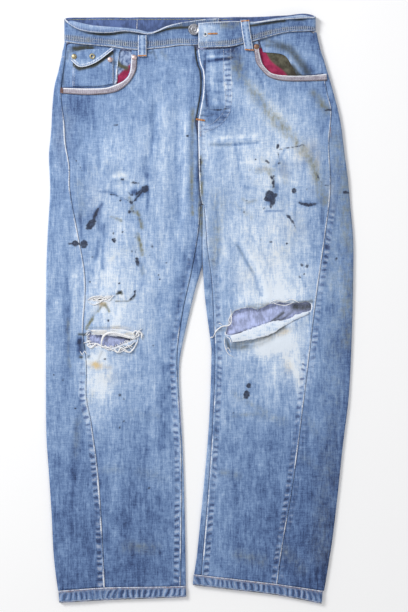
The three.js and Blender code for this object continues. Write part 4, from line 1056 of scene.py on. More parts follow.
def denim(name, reverse):
    """Washed indigo twill: the dye's fading, slubs, soiling, oil spots, worn ridges and puckered seams, with
    painted shade in navy beside raised seam edges, and painted shade and shadow, with some dark stains, in
    dark olive.
    """
    f = Finish(name)
    warp = f.noise((1.9, 17, 4), 3)
    slub = f.noise((4.5, 45, 8))
    weft = f.noise((15, 1.9, 4))
    grain = f.noise((1.7, 2.2, 2))
    cloud = f.noise((22, 34, 22), 3)
    mottle = f.noise((6, 9, 6), 3)
    tone = f.attribute("fade") + warp * 0.5 + slub * 0.34 + weft * 0.3 + grain * 0.34
    tone = tone + cloud * 0.27 + mottle * 0.34
    colour = f.node("ShaderNodeValToRGB", {"stops": INDIGO}, {"Fac": tone}).outputs[0]
    tinge = f.attribute("tinge") * (0.9 + cloud * 2.0 + grain * 1.2)
    colour = f.mix(tinge.smooth(0.0, 1.2), colour, WARM)
    soil = f.attribute("soil") * (0.85 + cloud * 1.8 + mottle * 2.4 + warp * 0.8)
    colour = f.mix(soil.smooth(0.0, 1.25), colour, SOIL_GREY)
    tick = f.math("SINE", f.attribute("run") * (2 * math.pi / TICK) + f.noise(40) * 14 + grain * 2.5)
    pucker = f.attribute("pucker") * (1.0 + cloud * 1.6 + mottle * 1.2)
    rung = f.mix(f.attribute("fade").smooth(0.3, 0.65), NAVY, RUNG)
    colour = f.mix((pucker * tick.smooth(0.1, 0.85)).smooth(0.05, 0.9) * 0.8, colour, rung)
    colour = f.mix((pucker * (0 - tick).smooth(0.1, 1.0)).smooth(0.1, 1.0) * 0.28, colour, WORN_WHITE)
    ridge = f.attribute("ridge") * (0.95 + mottle * 1.4 + grain * 1.6)
    colour = f.mix(ridge.smooth(0.25, 1.0), colour, WORN_WHITE)
    colour = f.mix((f.attribute("shade") * (1.0 + mottle * 1.2)).smooth(0.0, 1.0) * 0.9, colour, NAVY)
    blot = f.noise(4.5)
    spot = (f.attribute("spot") + blot * 3.6 + grain * 1.4).smooth(-1.0, 1.7)
    colour = f.mix((spot * (0.84 + blot * 0.6 + grain * 0.5)).smooth(0, 1), colour, OIL)
    dark, pale = (tuple(min(c * share, 1) for c in reverse) for share in (0.68, 1.3))
    back = f.mix((warp * 1.1 + cloud * 1.6 + mottle * 1.6 + 0.5).smooth(0, 1), dark, pale)
    colour = f.mix(f.attribute("inside"), colour, back)
    # painted shade and shadow under lips and round tears, and some dark stains, towards dark olive
    gloom = f.attribute("gloom") * (1.0 + mottle * 0.9 + grain * 0.6)
    colour = f.mix(gloom.smooth(0.0, 1.0) * 0.94, colour, SHADE_AND_STAIN_OLIVE)
    twill = f.node("ShaderNodeTexWave", {"wave_type": "BANDS", "bands_direction": "DIAGONAL"}, {
        "Vector": f.place, "Scale": 0.9 / MM / 6, "Distortion": 1.5, "Detail": 1.0})
    height = warp * 0.9 + weft * 0.6 + grain * 0.9 + Value(f, twill.outputs["Fac"]) * 0.25
    return f.output(colour, 0.88, height, 0.35, specular=0.15)


def lining_finish():
    f = Finish("red_lining")
    grain = f.noise(1.2)
    cloud = f.noise((14, 9, 10))
    colour = f.mix((cloud * 1.6 + grain * 0.8 + 0.5).smooth(0, 1), rgb(124, 32, 64), rgb(174, 56, 96))
    denim_side = f.mix((f.noise((5, 7, 5), 3) * 2.4 + 0.5).smooth(0, 1), rgb(72, 92, 134), rgb(166, 184, 214))
    colour = f.mix(f.attribute("cloth"), colour, denim_side)
    # painted shadow deep in the pocket, towards dark olive
    deep = f.mix((f.noise(9, 3) * 2.4 + 0.4).smooth(0, 1), SHADE_AND_STAIN_OLIVE, rgb(98, 100, 84))
    colour = f.mix(f.attribute("gloom").smooth(0, 1), colour, deep)
    return f.output(colour, 0.85, grain, 0.2)


def thread_finish(name, low, high):
    f = Finish(name)
    shade = f.noise(3) * 2.2 + 0.5
    colour = f.mix(shade.smooth(0, 1), rgb(*low), rgb(*high))
    return f.output(colour, 0.8, f.noise(0.5, 1), 0.1)


def binding_finish():
    """Grey-pink tape, hatched by its stitching, with a whiter inner edge."""
    f = Finish("binding_twill")
    cloud = f.noise(9, 3)
    hatch = f.math("SINE", f.attribute("run") * (2 * math.pi / 3.4) + cloud * 8)
    colour = f.mix((cloud * 1.8 + 0.5).smooth(0, 1), rgb(138, 130, 142), rgb(184, 180, 192))
    colour = f.mix(hatch.smooth(0.2, 1) * 0.5, colour, rgb(112, 106, 128))
    colour = f.mix(f.attribute("edge").smooth(0.2, 1), colour, rgb(226, 228, 236))
    colour = f.mix((f.attribute("soil") * (1 + cloud * 2)).smooth(0, 1), colour, rgb(98, 84, 84))
    return f.output(colour, 0.85, hatch * 0.6 + cloud, 0.25)


def metal_finish(name, low, high, rough):
    f = Finish(name)
    wornness = f.noise(2.5, 3) * 1.8 + 0.5
    colour = f.mix(wornness.smooth(0.1, 0.9), rgb(*low), rgb(*high))
    roughness = f.noise(1.2) * 0.4 + rough
    return f.output(colour, roughness, f.noise(0.8), 0.06, metallic=0.85, specular=0.5)


denim_cloth = denim("washed_denim", REVERSE)
band_cloth = denim("band_denim", BAND_REVERSE)
binding_cloth = binding_finish()
red_cloth = lining_finish()
pale_thread = thread_finish("pale_thread", (176, 182, 200), (228, 232, 240))
white_thread = thread_finish("white_cotton", (214, 216, 222), (246, 246, 246))
blue_thread = thread_finish("indigo_cotton", (120, 146, 190), (176, 196, 226))
amber_thread = thread_finish("amber_thread", (176, 112, 62), (226, 168, 104))
yellow_thread = thread_finish("yellow_thread", (168, 168, 110), (206, 206, 150))
brown_thread = thread_finish("brown_thread", (120, 84, 66), (168, 128, 104))
brass = metal_finish("aged_brass", (150, 138, 108), (208, 198, 164), 0.45)
copper = metal_finish("pink_copper", (176, 148, 146), (232, 214, 212), 0.5)
bronze = metal_finish("brown_copper", (104, 76, 64), (170, 132, 112), 0.5)
steel = metal_finish("dull_steel", (112, 114, 122), (186, 188, 196), 0.4)

# ---- how panels meet ----


def worn(x, y, **more):
    """All that the denim finish reads, for cloth at x, y."""
    return dict.fromkeys(("pucker", "run", "ridge", "shade", "gloom"), 0) | wear(x, y) | more


def roll(distance_in):
    """Height of the rolled edge of the panel that lies over its neighbour at a seam."""
    return np.exp(-(((distance_in - 2) / 2.2) ** 2))


def dip(distance_in):
    """How far the panel under it is pressed down."""
    return -0.7 * np.exp(-((distance_in / 3.0) ** 2))


def band(distance_in, low, high):
    """1 in the band of cloth from low to high beside a seam, soft at both limits."""
    return smooth(low - 1.2, low + 1.2, distance_in) * (1 - smooth(high - 1.5, high + 2.5, distance_in))


def gather(pucker, run, pitch=TICK):
    """Height of the puckers that a shrunken seam draws."""
    return 0.38 * pucker * np.sin(2 * math.pi * run / pitch + 2.2 * lattice(run, run * 0, 31, 31, 21))


def scuff(y):
    """How far the right leg's side seam has been worn plain, below the knee."""
    return np.exp(-(((y + 128) / 66) ** 2))


def front_edge(side, y):
    """X of the front panel's edge next to the centre: the fly down to the crotch, then the inseam."""
    past = -4 * smooth(300, 335, y) if side == RIGHT else 0
    fly = fly_edge(np.maximum(y, CROTCH)) + past
    return np.where(y <= CROTCH, inseam[side](y), fly) + side * SEAM_GAP


def panel_rows(side, upper_edge, step):
    """Y of each row of a panel at any x. Rows fan out to the upper edge and the hem and are level between."""
    up = int(105 / step)
    legs = np.concatenate([
        np.linspace(UPPER, CROTCH, int((UPPER - CROTCH) / step)),
        np.linspace(CROTCH, LOWER, int((CROTCH - LOWER) / step))[1:],
    ])
    down = int(52 / step)
    base = np.concatenate([np.full(up, UPPER), legs, np.full(down, LOWER)])[:, None]
    share_up = np.zeros_like(base)
    share_up[:up, 0] = np.linspace(1, 0, up, endpoint=False)
    share_down = np.zeros_like(base)
    share_down[-down:, 0] = np.linspace(0, 1, down + 1)[1:]

    def height(x):
        return base + share_up * (upper_edge(x) - UPPER) + share_down * (hem_top[side](x) + SEAM_GAP - LOWER)

    return height


def punch(grid, outline, height):
    """Marks the faces inside an outline as cut and moves the points beside them onto it."""
    centre = (grid[:-1, :-1] + grid[1:, :-1] + grid[:-1, 1:] + grid[1:, 1:]) / 4
    cut = inside_of(centre[..., 0], centre[..., 1], outline)
    around = np.zeros((4, *grid.shape[:2]), int)
    for k, (i, j) in enumerate(((0, 0), (1, 0), (0, 1), (1, 1))):
        around[k] = -1
        around[k, i : i + cut.shape[0], j : j + cut.shape[1]] = cut
    rim = (around == 1).any(0) & (around == 0).any(0)
    x, y = nearest(grid[rim][:, 0], grid[rim][:, 1], outline)
    grid[rim] = np.stack([x, y, height(x, y)], 1)
    return cut


# ---- fronts ----


def front_height(side):
    """Height of the front panel's middle, with its laps, rolled seams and puckers."""

    def height(x, y):
        z = top(x, y)
        to_side = np.abs(x - side_seam[side](y))
        to_edge = np.abs(x - front_edge(side, y))
        if side == LEFT:
            z = z + 1.2 * smooth(318, 345, y) * (1 - smooth(20, 60, x))
        z = z + (roll(to_side) if side == LEFT else dip(to_side))
        z = z + np.where((y < CROTCH) | (side == LEFT), roll(to_edge), dip(to_edge))
        for pucker, run in front_puckers(side, x, y):
            z = z + gather(pucker, run)
        return z

    return height


def front_puckers(side, x, y):
    """Each seam's bell of puckers on the front: how strongly it shows, and the distance along the seam."""
    to_side = np.abs(x - side_seam[side](y))
    to_edge = np.abs(x - front_edge(side, y))
    to_waist = waist_seam(x) - BAND_CLEAR - y
    to_fly = distance(x, y, FLY_STITCH)
    side_strength = 0.2 if side == RIGHT else 0.15 + 0.7 * smooth(-60, -120, y)
    patchy = 0.78 + 0.42 * lattice(x, y, 90, 46, 22)
    legs = smooth(150, 90, y) * (0.5 + 0.4 * smooth(-20, -90, y))
    fly = smooth(235, 265, y) * (0.75 if side == LEFT else 0.3)
    yield side_strength * patchy * smooth(350, 300, y) * band(to_side, 3, 11), y
    yield legs * patchy * band(to_edge, 3, 11.5), y
    yield fly * patchy * band(to_edge, 4, 12), y * 1.5
    yield 0.5 * patchy * band(to_waist, 2, 8), x * TICK / 8
    if side == LEFT:
        yield 0.8 * patchy * band(to_fly, 0, 5.5), y * 1.4


def front(side):
    """The front leg, cut away at the pocket's mouth and torn at the knee."""
    step = 2.6
    rows = panel_rows(side, lambda x: waist_seam(x) - BAND_CLEAR, step)
    share = spaced(236, 1.1, 5, 2.65)[None]
    nominal = rows(np.array([[side * FRONT_MIDDLE]]))
    nominal[0] = WAIST_LEVEL
    x0 = mix(side_seam[side](nominal), front_edge(side, nominal), share)
    y = rows(x0)
    x = mix(side_seam[side](y) - side * SEAM_GAP, front_edge(side, y), share)
    height = front_height(side)
    grid = np.stack([x, y, height(x, y)], -1)
    mouth = np.array(MOUTH[side] + [MOUTH_CORNER[side]])
    torn = [ragged(t, 1.3, 31) for t in ((KNEE_TEAR, THIGH_TEAR) if side == RIGHT else (KNEE_GASH,))]
    cut = np.zeros((grid.shape[0] - 1, grid.shape[1] - 1), bool)
    for outline in [mouth, *torn]:
        cut |= punch(grid, outline, height)
    x, y = grid[..., 0], grid[..., 1]
    to_side = np.abs(x - side_seam[side](y))
    to_edge = np.abs(x - front_edge(side, y))
    pucker, run, strongest = np.zeros(x.shape), y.copy(), np.zeros(x.shape)
    for strength, along in front_puckers(side, x, y):
        pucker = np.maximum(pucker, strength)
        run = np.where(strength > strongest, along, run)
        strongest = np.maximum(strongest, strength)
    over = np.where((y < CROTCH) | (side == LEFT), 1.0, 0.0)
    patchy = 0.8 + 0.5 * lattice(x, y, 200, 24, 23)
    fly = smooth(CROTCH, 260, y)
    ridge = over * (1 - smooth(1.2, 2.8, to_edge)) * mix(0.72 * patchy, 1.05, fly)
    ridge = np.maximum(ridge, 0.3 * over * band(to_edge, 12, 13) * smooth(CROTCH, 120, y))
    shade = (1 - over) * (1 - smooth(1.0, 4.5, to_edge)) * 0.7
    # painted shadow where the right panel runs under the fly's overlap
    gloom = (1 - over) * (1 - smooth(0.8, 3.4, to_edge)) * smooth(290, 350, y)
    worn_out = 1 - 0.9 * scuff(y) * (side == RIGHT)
    if side == LEFT:
        ridge = np.maximum(ridge, 0.9 * patchy * (1 - smooth(1.2, 2.8, to_side)))
    else:
        shade = np.maximum(shade, 0.32 * worn_out * (1 - smooth(0.6, 2.2, to_side)) * smooth(420, 380, y))
    for outline in torn:
        near = np.full(x.shape, 99.0)
        close = np.abs(y - outline[:, 1].mean()) < 60
        near[close] = distance(x[close], y[close], np.vstack([outline, outline[:1]]))
        ridge = np.maximum(ridge, 0.9 * (1 - smooth(0.8, 4.2, near)))
    # painted shade round the tears and dark stains, from the table
    gloom = deepest(x, y, PAINTED_SHADE_AND_STAIN, gloom)
    marks = worn(x, y, pucker=pucker, run=run, ridge=ridge, shade=shade, gloom=gloom)
    lay(f"front_{NAMES[side]}", grid, DENIM, denim_cloth, marks, cut,
        up=(60, 40))


# ---- backs ----


def leg_section(side, y, inset, rise, steps):
    """x and z round a flattened leg at each y: the strip from the side seam, the outer fold, the bottom and,
    below the crotch, the inner fold and the inner strip. "steps" says how the columns are spread over them.
    Also gives the columns of each of the five."""
    y = np.asarray(y, float).reshape(-1, 1)
    z_bottom = bottom(y) - LEG_BOTTOM + inset
    x_outer, x_inner = outer[side](y), inner[side](y)
    lift = rise + inset - DENIM / 2
    z_outer, z_inner = top(x_outer, y) + lift, top(x_inner, y) + lift

    def fold_depth(x_edge, x_seam, z_top):
        return np.clip(np.abs(x_edge - x_seam) - inset - 1, 0.4, (z_top - z_bottom) / 2)

    outer_depth = fold_depth(x_outer, side_seam[side](y), z_outer)
    inner_depth = fold_depth(x_inner, inseam[side](y), z_inner)
    x_fold_outer = x_outer - side * (outer_depth + inset)
    x_fold_inner = x_inner + side * (inner_depth + inset)
    strip, turn, under, inner_strip = steps
    k = strip[None]
    seam = side_seam[side](y) + side * SEAM_GAP
    x_strip = mix(seam, x_fold_outer, k)
    z_strip = mix(top(x_strip, y) + lift, z_outer, k**4)
    angle = math.pi * np.linspace(0, 1, turn + 2)[None, 1:-1]
    x_turn = x_fold_outer + side * outer_depth * np.sin(angle)
    z_turn = (z_outer + z_bottom) / 2 + (z_outer - z_bottom) / 2 * np.cos(angle)
    centre = (inner[side](CROTCH) + side * SEAM_GAP) * (1 - smooth(CROTCH, 240, y)) + side * SEAM_GAP
    open_leg = y <= CROTCH
    k = np.linspace(0, 1, under)[None]
    x_under = mix(x_fold_outer, np.where(open_leg, x_fold_inner, centre), k)
    z_under = z_bottom + 0 * x_under
    x_back = x_fold_inner - side * inner_depth * np.sin(angle[:, ::-1])
    z_back = (z_inner + z_bottom) / 2 + (z_inner - z_bottom) / 2 * np.cos(angle[:, ::-1])
    x_inseam = inseam[side](y) - side * SEAM_GAP
    x_start = side * np.minimum(side * x_fold_inner, side * x_inseam - 1.2)
    k = inner_strip[None]
    x_last = mix(x_start, x_inseam, k)
    z_last = mix(z_inner, top(x_last, y) + lift, k)
    columns = [(x_strip, z_strip), (x_turn, z_turn), (x_under, z_under), (x_back, z_back), (x_last, z_last)]
    for k in (3, 4):
        x_part, z_part = columns[k]
        columns[k] = np.where(open_leg, x_part, np.nan), np.where(open_leg, z_part, np.nan)
    x = np.concatenate([c[0] for c in columns], 1)
    z = np.concatenate([c[1] for c in columns], 1)
    ends = np.cumsum([0] + [c[0].shape[1] for c in columns])
    return x, z, [slice(a, b) for a, b in zip(ends, ends[1:])]


def yoke_seam(x):
    """Y of the seam between the yoke and the back leg."""
    return mix(UPPER, back_waist_seam(x), yoke_share(x))


def wrap(side, rows, steps):
    """A grid that wraps round the leg, its spans, and each point's own height row."""
    nominal = rows(side_seam[side](rows(np.array([[side * STRIP_MIDDLE]]))))
    x, z, spans = leg_section(side, nominal[:, 0], DENIM / 2, 0, steps)
    return np.stack([x, rows(x), z], -1), spans


def back(side):
    """The back leg, which goes round the outer and the inner fold to meet the front."""
    name = NAMES[side]
    rows = panel_rows(side, lambda x: yoke_seam(x) - SEAM_GAP, 3.1)
    strip = np.concatenate([[0, 0.02, 0.045, 0.075, 0.11], np.linspace(0.15, 1, 22)])
    grid, spans = wrap(side, rows, (strip, 7, 54, np.array([0, 0.25, 0.45, 0.62, 0.76, 0.88, 0.95, 1.0])))
    x, y = np.nan_to_num(grid[..., 0]), np.nan_to_num(grid[..., 1])
    on_strip, on_last = np.zeros(x.shape), np.zeros(x.shape)
    on_strip[:, spans[0]] = 1
    on_last[:, spans[4]] = 1
    to_seam, to_inseam = np.abs(x - side_seam[side](y)), np.abs(x - inseam[side](y))
    lap = roll(to_seam) if side == RIGHT else dip(to_seam)
    strength = (0.9 * smooth(-80, -150, y) + 0.2) if side == RIGHT else (0.4 + 0.55 * smooth(-110, -60, y))
    strength = strength * smooth(340, 300, y) * smooth(210, 150, y) ** (side == LEFT)
    strength = strength * (0.8 + 0.4 * lattice(x, y, 90, 46, 24))
    pucker = on_strip * strength * band(to_seam, 2.5, 11.5) + on_last * 0.3 * band(to_inseam, 3, 7)
    grid[..., 2] += on_strip * lap + on_last * dip(to_inseam) + gather(pucker, y)
    under = grid[:, spans[2]]
    under[..., 2] += added(under[..., 0], under[..., 1], INSIDE_FOLDS)
    patchy = 0.8 + 0.5 * lattice(x, y, 200, 24, 23)
    worn_out = 1 - 0.75 * scuff(y)
    ridge = patchy * worn_out * on_strip * (1 - smooth(1.4, 3.0, to_seam)) * smooth(420, 330, y)
    ridge = ridge * (side == RIGHT)
    shade = on_last * 0.7 * (1 - smooth(0.6, 2.6, to_inseam))
    if side == LEFT:
        shade = shade + on_strip * 0.35 * (1 - smooth(0.6, 2.4, to_seam))
    # dark stains by the side seam on the strip, and painted shade inside the tears
    gloom = on_strip * deepest(x, y, PAINTED_SHADE_AND_STAIN[:STRIP_SHADE_AND_STAIN])
    gloom[:, spans[2]] = deepest(x, y, INSIDE_SHADE)[:, spans[2]]
    marks = worn(x, y, pucker=pucker, run=y, ridge=ridge, shade=shade, gloom=gloom)
    lay(f"back_{name}", grid, DENIM, denim_cloth, marks,
        up=(120, 12))


def yoke(side):
    """A plain back yoke, which wraps round the outer fold."""
    name = NAMES[side]
    k = np.linspace(1, 0, 14)[:, None]

    def rows(x):
        return mix(yoke_seam(x) + SEAM_GAP, back_waist_seam(x) - BAND_CLEAR, k)

    grid, _ = wrap(side, rows, (np.linspace(0, 1, 10), 6, 40, np.array([0, 1.0])))
    keep = ~np.isnan(grid[0, :, 0])
    grid = grid[:, keep]
    x, y = grid[..., 0], grid[..., 1]
    marks = worn(x, y, ridge=0.6 * (1 - smooth(1, 3, y - yoke_seam(x))))
    lay(f"yoke_{name}", grid, DENIM, denim_cloth, marks, up=(6, 4))


def back_pocket(side):
    """A patch pocket under the seat, with a pointed lower edge."""
    s, t = np.meshgrid(np.linspace(0, 1, 60), np.linspace(-1, 1, 56), indexing="ij")
    half = 64 + 6 * smooth(0.82, 0, s)
    low = -50 - 28 * (1 - np.abs(t))
    grid = np.stack([side * 118 + half * t, 320 + mix(78, low, s), np.full(s.shape, TRIM / 2)], -1)
    x, y = grid[..., 0], grid[..., 1]
    edge = np.minimum((1 - np.abs(t)) * half, np.minimum(s, 1 - s) * 140)
    marks = worn(x, y, ridge=0.7 * (1 - smooth(0.8, 2.5, edge)))
    lay(f"back_pocket_{NAMES[side]}", grid, TRIM, denim_cloth, marks)


# ---- hems ----


def hem(side):
    """A turned-up hem that goes all the way round the leg's end, roped by its stitching."""
    name = NAMES[side]
    steps = (np.linspace(0, 1, 40), 9, 90, np.linspace(0, 1, 12))
    x, z, _ = leg_section(side, [-500], BAND / 2, 1.1, steps)
    ring = np.stack([x[0], z[0]], 1)
    across = ring[-1] + (ring[0] - ring[-1]) * np.linspace(0, 1, 90)[1:-1, None]
    ring = np.vstack([ring, across, ring[:1]])
    run = lengths(ring)
    at = np.linspace(0, run[-1], int(run[-1] / 1.5))[:-1]
    x, z = (np.interp(at, run, ring[:, k])[None] for k in (0, 1))
    s = np.linspace(0, 1, 13)[:, None]
    above = smooth(3.0, 4.4, z)
    here = x + 0.35 * (outer[side](mix(-494, -516, s)) - outer[side](-500))
    y = mix(hem_top[side](x) - SEAM_GAP, hem_edge[side](x), s)
    fray = 0.5 * lattice(here, y * 0, 3, 3, 41) * s**4
    y = y - (1 - above) * 2.6 * s + fray
    slant = here + 0.22 * side * y
    rope = np.sin(2 * math.pi * slant / ROPE + 1.6 * lattice(slant, slant * 0, 23, 23, 42))
    hump = 0.5 * (smooth(0.0, 0.16, s) - smooth(0.84, 1.0, s) * 1.4)
    height = z + above * (0.55 * rope * smooth(0.1, 0.35, s) * (1 - smooth(0.75, 1, s)) + hump)
    grid = np.stack([here, y, height], -1)
    x, y = grid[..., 0], grid[..., 1]
    patchy = 0.75 + 0.25 * lattice(x, y, 26, 40, 43)
    bars = above * smooth(0.1, 0.3, s) * (1 - smooth(0.86, 1.0, s)) * patchy
    # painted shadow and shade on the inside of the back hem, which shows below the front
    olive = (1 - above) * smooth(0.75, 1.0, s) * (0.6 + 0.4 * lattice(x, y, 9, 9, 44))
    marks = worn(x, y, pucker=bars, run=slant * TICK / ROPE, gloom=olive,
                 ridge=above * (1 - smooth(0.02, 0.12, s) + 0.75 * smooth(0.86, 0.97, s)),
                 shade=(1 - above) * 0.6)
    marks["fade"] = mix(marks["fade"], 0.36, 0.6) + 0.06 * above * smooth(0.3, 0.8, s)
    marks["tinge"] = np.maximum(marks["tinge"], 0.35 * band(s * 18, 1.5, 4) * above)
    place = int(np.argmax(above[0] * (np.abs(x[0] - side * 120) < 20))) + 4
    lay(f"hem_{name}", grid, BAND, denim_cloth, marks,
        ring=True, up=(6, place))
    upper = np.where(above[0] > 0.99)[0]
    line = grid[1, upper] + [0, 0, BAND / 2 + 0.2]
    return line[np.argsort(line[:, 0])]


# ---- waistband ----


def band_grid():
    """Points of the waistband: rows from the underlap end to the overlap end, across from its seam."""
    table = np.array(BAND_STATIONS)
    lines = [table[:, [0, k, k + 1]] for k in (1, 3, 5, 7)]
    t = np.linspace(0, 1, 4000)
    run = lengths(curve(lines[1], t))
    t = np.interp(np.linspace(0, run[-1], int(run[-1] / 2.4)), run, t)
    four = np.stack([curve(line, t) for line in lines], 1)
    across = np.linspace(0, 1, 23)
    return np.stack([curve(points, across) for points in four])


def waistband():
    """The band from the underlap end, round the back, to the overlap end. Returns its middle grid."""
    grid = band_grid()
    count, columns = grid.shape[:2]
    x, y, z = grid[..., 0], grid[..., 1], grid[..., 2]
    t = np.linspace(0, 1, columns)[None]
    along = lengths(grid[:, 4])[:, None]
    facing = (z > 5).astype(float) * smooth(3.4, 6.5, z)
    from_seam, from_edge = t * BAND_DEPTH, (1 - t) * BAND_DEPTH
    pucker = facing * (0.8 * band(from_seam, 2.5, 11) + 0.6 * band(from_edge, 0.5, 5))
    lumps = facing * 0.4 * lattice(along, from_seam, 19, 11, 51)
    grid[..., 2] += 0.6 * gather(pucker, along, BAND_TICK) + lumps
    grid[..., 1] += 0.35 * lattice(along, from_seam, 24, 60, 52) * t
    ends = np.minimum(along, along[-1] - along)
    rim = np.minimum(from_seam, from_edge)
    ridge = np.maximum(0.9 * (1 - smooth(0.8, 2.6, rim)), 1 - smooth(0.8, 3, ends))
    crest = np.exp(-(((z - 15.2) / 2.6) ** 2)) * smooth(12.5, 14, z)
    fade = 0.38 + 0.36 * crest + 0.1 * lattice(along, from_seam, 30, 16, 53)
    # painted shadow under the rolled lip, along the listed lines and in the keyhole
    below = y[:, -1:] - y
    curled = smooth(2, 6, y.max(1, keepdims=True) - y[:, -1:]) * (t < 0.66)
    band_shadow = facing * curled * np.exp(-(((below - 1.5) / 2.3) ** 2))
    band_shadow = band_shadow * (0.9 + 0.7 * lattice(along, 0 * along, 50, 50, 54))
    for points in BAND_LIP_SHADOWS:
        band_shadow = np.maximum(band_shadow, facing * (t < 0.9) * soft(x, y, points, 2.6))
    band_shadow = np.maximum(band_shadow, 1.2 * np.exp(-(oval(x, y, *KEYHOLE, 2.4, 2.4) ** 4)))
    seamed = 0.6 * facing * band(from_seam, 2.5, 10)
    line = 0.75 * facing * band(from_edge, 2.3, 3.3)
    marks = worn(x, y, pucker=pucker, run=along * TICK / BAND_TICK, ridge=ridge, gloom=band_shadow, shade=line,
                 spot=CLEAN, inside=(0, 1 - 0.75 * facing * smooth(0.55, 0.75, t)))
    marks["fade"] = fade * facing + (1 - facing) * 0.34
    marks["soil"] = np.maximum(marks["soil"], 0.55 * smooth(0.55, 0.8, t) * (1 - crest) * facing)
    marks["soil"] = np.maximum(marks["soil"], seamed)
    place = int(np.argmin(np.abs(x[: count // 2, 2] + 132)))
    lay("waistband", grid, BAND, band_cloth, marks,
        up=(place, 3))
    return grid


def belt_loop(name, route, flat=False):
    """A folded strap along a route, with worn edges."""
    middle = evenly(route, 1.2)
    t = np.linspace(-0.5, 0.5, 15)[None]
    grid = np.repeat(middle[:, None], 15, 1)
    grid[..., 0] += t * LOOP_WIDTH + 0.25 * lattice(middle[:, 1:2], t * 0, 5, 5, 61)
    run = lengths(middle)[:, None]
    edge = (0.5 - np.abs(t)) * LOOP_WIDTH
    pucker = 0.7 * band(edge, 2, 4.5)
    if not flat:
        grid[..., 2] += 0.7 * np.cos(math.pi * t)
        grid[..., 2] += gather(pucker, run, LOOP_TICK)
    marks = worn(grid[..., 0], grid[..., 1], pucker=pucker, run=run * TICK / LOOP_TICK,
                 ridge=1 - smooth(0.6, 2.0, edge), fade=0.6 + 0.14 * np.cos(t * 9), spot=CLEAN)
    lay(name, grid, TRIM, denim_cloth, marks, up=(5, 7))


def belt_loops():
    belt_loop("loop_front_right", LOOP_RIGHT)
    belt_loop("loop_front_left", LOOP_LEFT)
    for number, x in enumerate(BACK_LOOPS, 1):
        high, low = back_waist_seam(x) + 36, back_waist_seam(x) - 10
        route = [(x, y, TRIM / 2) for y in (low, (low + high) / 2, high)]
        belt_loop(f"loop_back_{number}", route, True)


# ---- pockets, fly and torn edges ----


def patch(line_a, line_b, rows, columns, above):
    """A grid ruled between two lines, lying "above" the middle of the front's wall. Gives the grid with its
    x and y, and the shares of the way from one line to the other and along them."""
    t = np.linspace(0, 1, columns + 1)
    a, b = curve(line_a, t)[None], curve(line_b, t)[None]
    s = np.linspace(0, 1, rows + 1)[:, None]
    xy = mix(a, b, s[..., None])
    grid = np.dstack([xy, top(xy[..., 0], xy[..., 1]) + above(s, t[None])])
    return grid, grid[..., 0], grid[..., 1], s, t[None]


def pockets(side):
    """The binding of a front pocket's mouth, with the facing and the lining that show in it."""
    name = NAMES[side]
    wave = lambda s, t: 1.7 + 0.5 * np.sin(math.pi * s) + 0.22 * np.sin(t * 150) * smooth(0.3, 1, s)
    grid, x, y, s, t = patch(BINDING_OUTER[side], BINDING_INNER[side], 7, 130, wave)
    marks = {"edge": smooth(0.7, 0.9, s), "run": lengths(grid[3])[None],
             "soil": 0.75 * (1 - smooth(0.0, 0.3, s)) + 0.3 * lattice(x, y, 22, 22, 71)}
    lay(f"pocket_binding_{name}", grid, TRIM, binding_cloth, marks)

    bulge = lambda s, t: -1.9 + 0.7 * np.sin(math.pi * s) * np.sin(math.pi * t) + 0.25 * np.sin(6 * t + 4 * s)
    grid, x, y, s, t = patch(FACING_FOLD[side], FACING_SEAM[side], 40, 66, bulge)
    ridge = (side == RIGHT) * 0.8 * (1 - smooth(0.02, 0.06, s))
    shade = 0.7 * (1 - smooth(0.0, 2.5, distance(x, y, BINDING_INNER[side]) - 1.5))
    # painted shade round the facing's fold and below the binding
    marks = worn(x, y, ridge=ridge, spot=CLEAN, shade=shade, gloom=deepest(x, y, FACING_SHADE[side]))
    lay(f"pocket_facing_{name}", grid, DENIM, denim_cloth, marks)

    creased = lambda s, t: -3.4 + 0.35 * np.sin(t * 22 + 3 * s)
    grid, x, y, s, t = patch(BAG_EDGE[side], BAG_BACK[side], 22, 48, creased)
    # painted shadow in the pocket bag
    if side == RIGHT:
        cloth = smooth(415, 419, y - 0.9 * (x + 138))
        gloom = soft(x, y, [(-146, 436), (-140, 428), (-129, 424)], 4.5)
    else:
        cloth = 0
        gloom = 0.9 * smooth(-2.5, 4.5, y - through(BAG_SHADOW, 0)(x))
    lay(f"pocket_bag_{name}", grid, BAG_WALL, red_cloth,
        {"cloth": cloth, "gloom": gloom})


def coin_pocket():
    """The coin pocket in the right mouth, and its flap."""
    belly = lambda s, t: 0.3 + 0.9 * np.sin(math.pi * s) * np.sin(math.pi * t) + 0.2 * np.sin(7 * t) * s
    grid, x, y, s, t = patch(COIN_BOTTOM, COIN_TOP, 30, 38, belly)
    ridge = 0.8 * (1 - smooth(0.6, 2.2, np.minimum(t, 1 - t) * COIN_WIDTH))
    # painted shadow under the flap
    gloom = 1 - smooth(1, 7, distance(x, y, [(fx, fy - 2.5) for fx, fy in FLAP_EDGE]))
    lay("coin_pocket", grid, TRIM, denim_cloth,
        worn(x, y, ridge=ridge, spot=CLEAN, gloom=gloom))

    lifted = lambda s, t: 2.7 + 1.3 * (1 - s) + 0.35 * np.sin(9 * t) * (1 - s)
    grid, x, y, s, t = patch(FLAP_EDGE, FLAP_TOP, 30, 60, lifted)
    near_edge = distance(x, y, evenly(FLAP_EDGE, 4).tolist())
    ridge = np.maximum(1.2 * (1 - smooth(0.6, 1.8, near_edge)), 1.1 * band(near_edge, 3.6, 4.6))
    marks = worn(x, y, ridge=ridge, pucker=band(near_edge, 1.8, 3.4), run=t * FLAP_WIDTH * TICK / FLAP_TICK,
                 spot=CLEAN, fade=0.42 + 0.25 * (1 - smooth(0, 0.6, s)))
    lay("coin_flap", grid, TRIM, denim_cloth, marks)


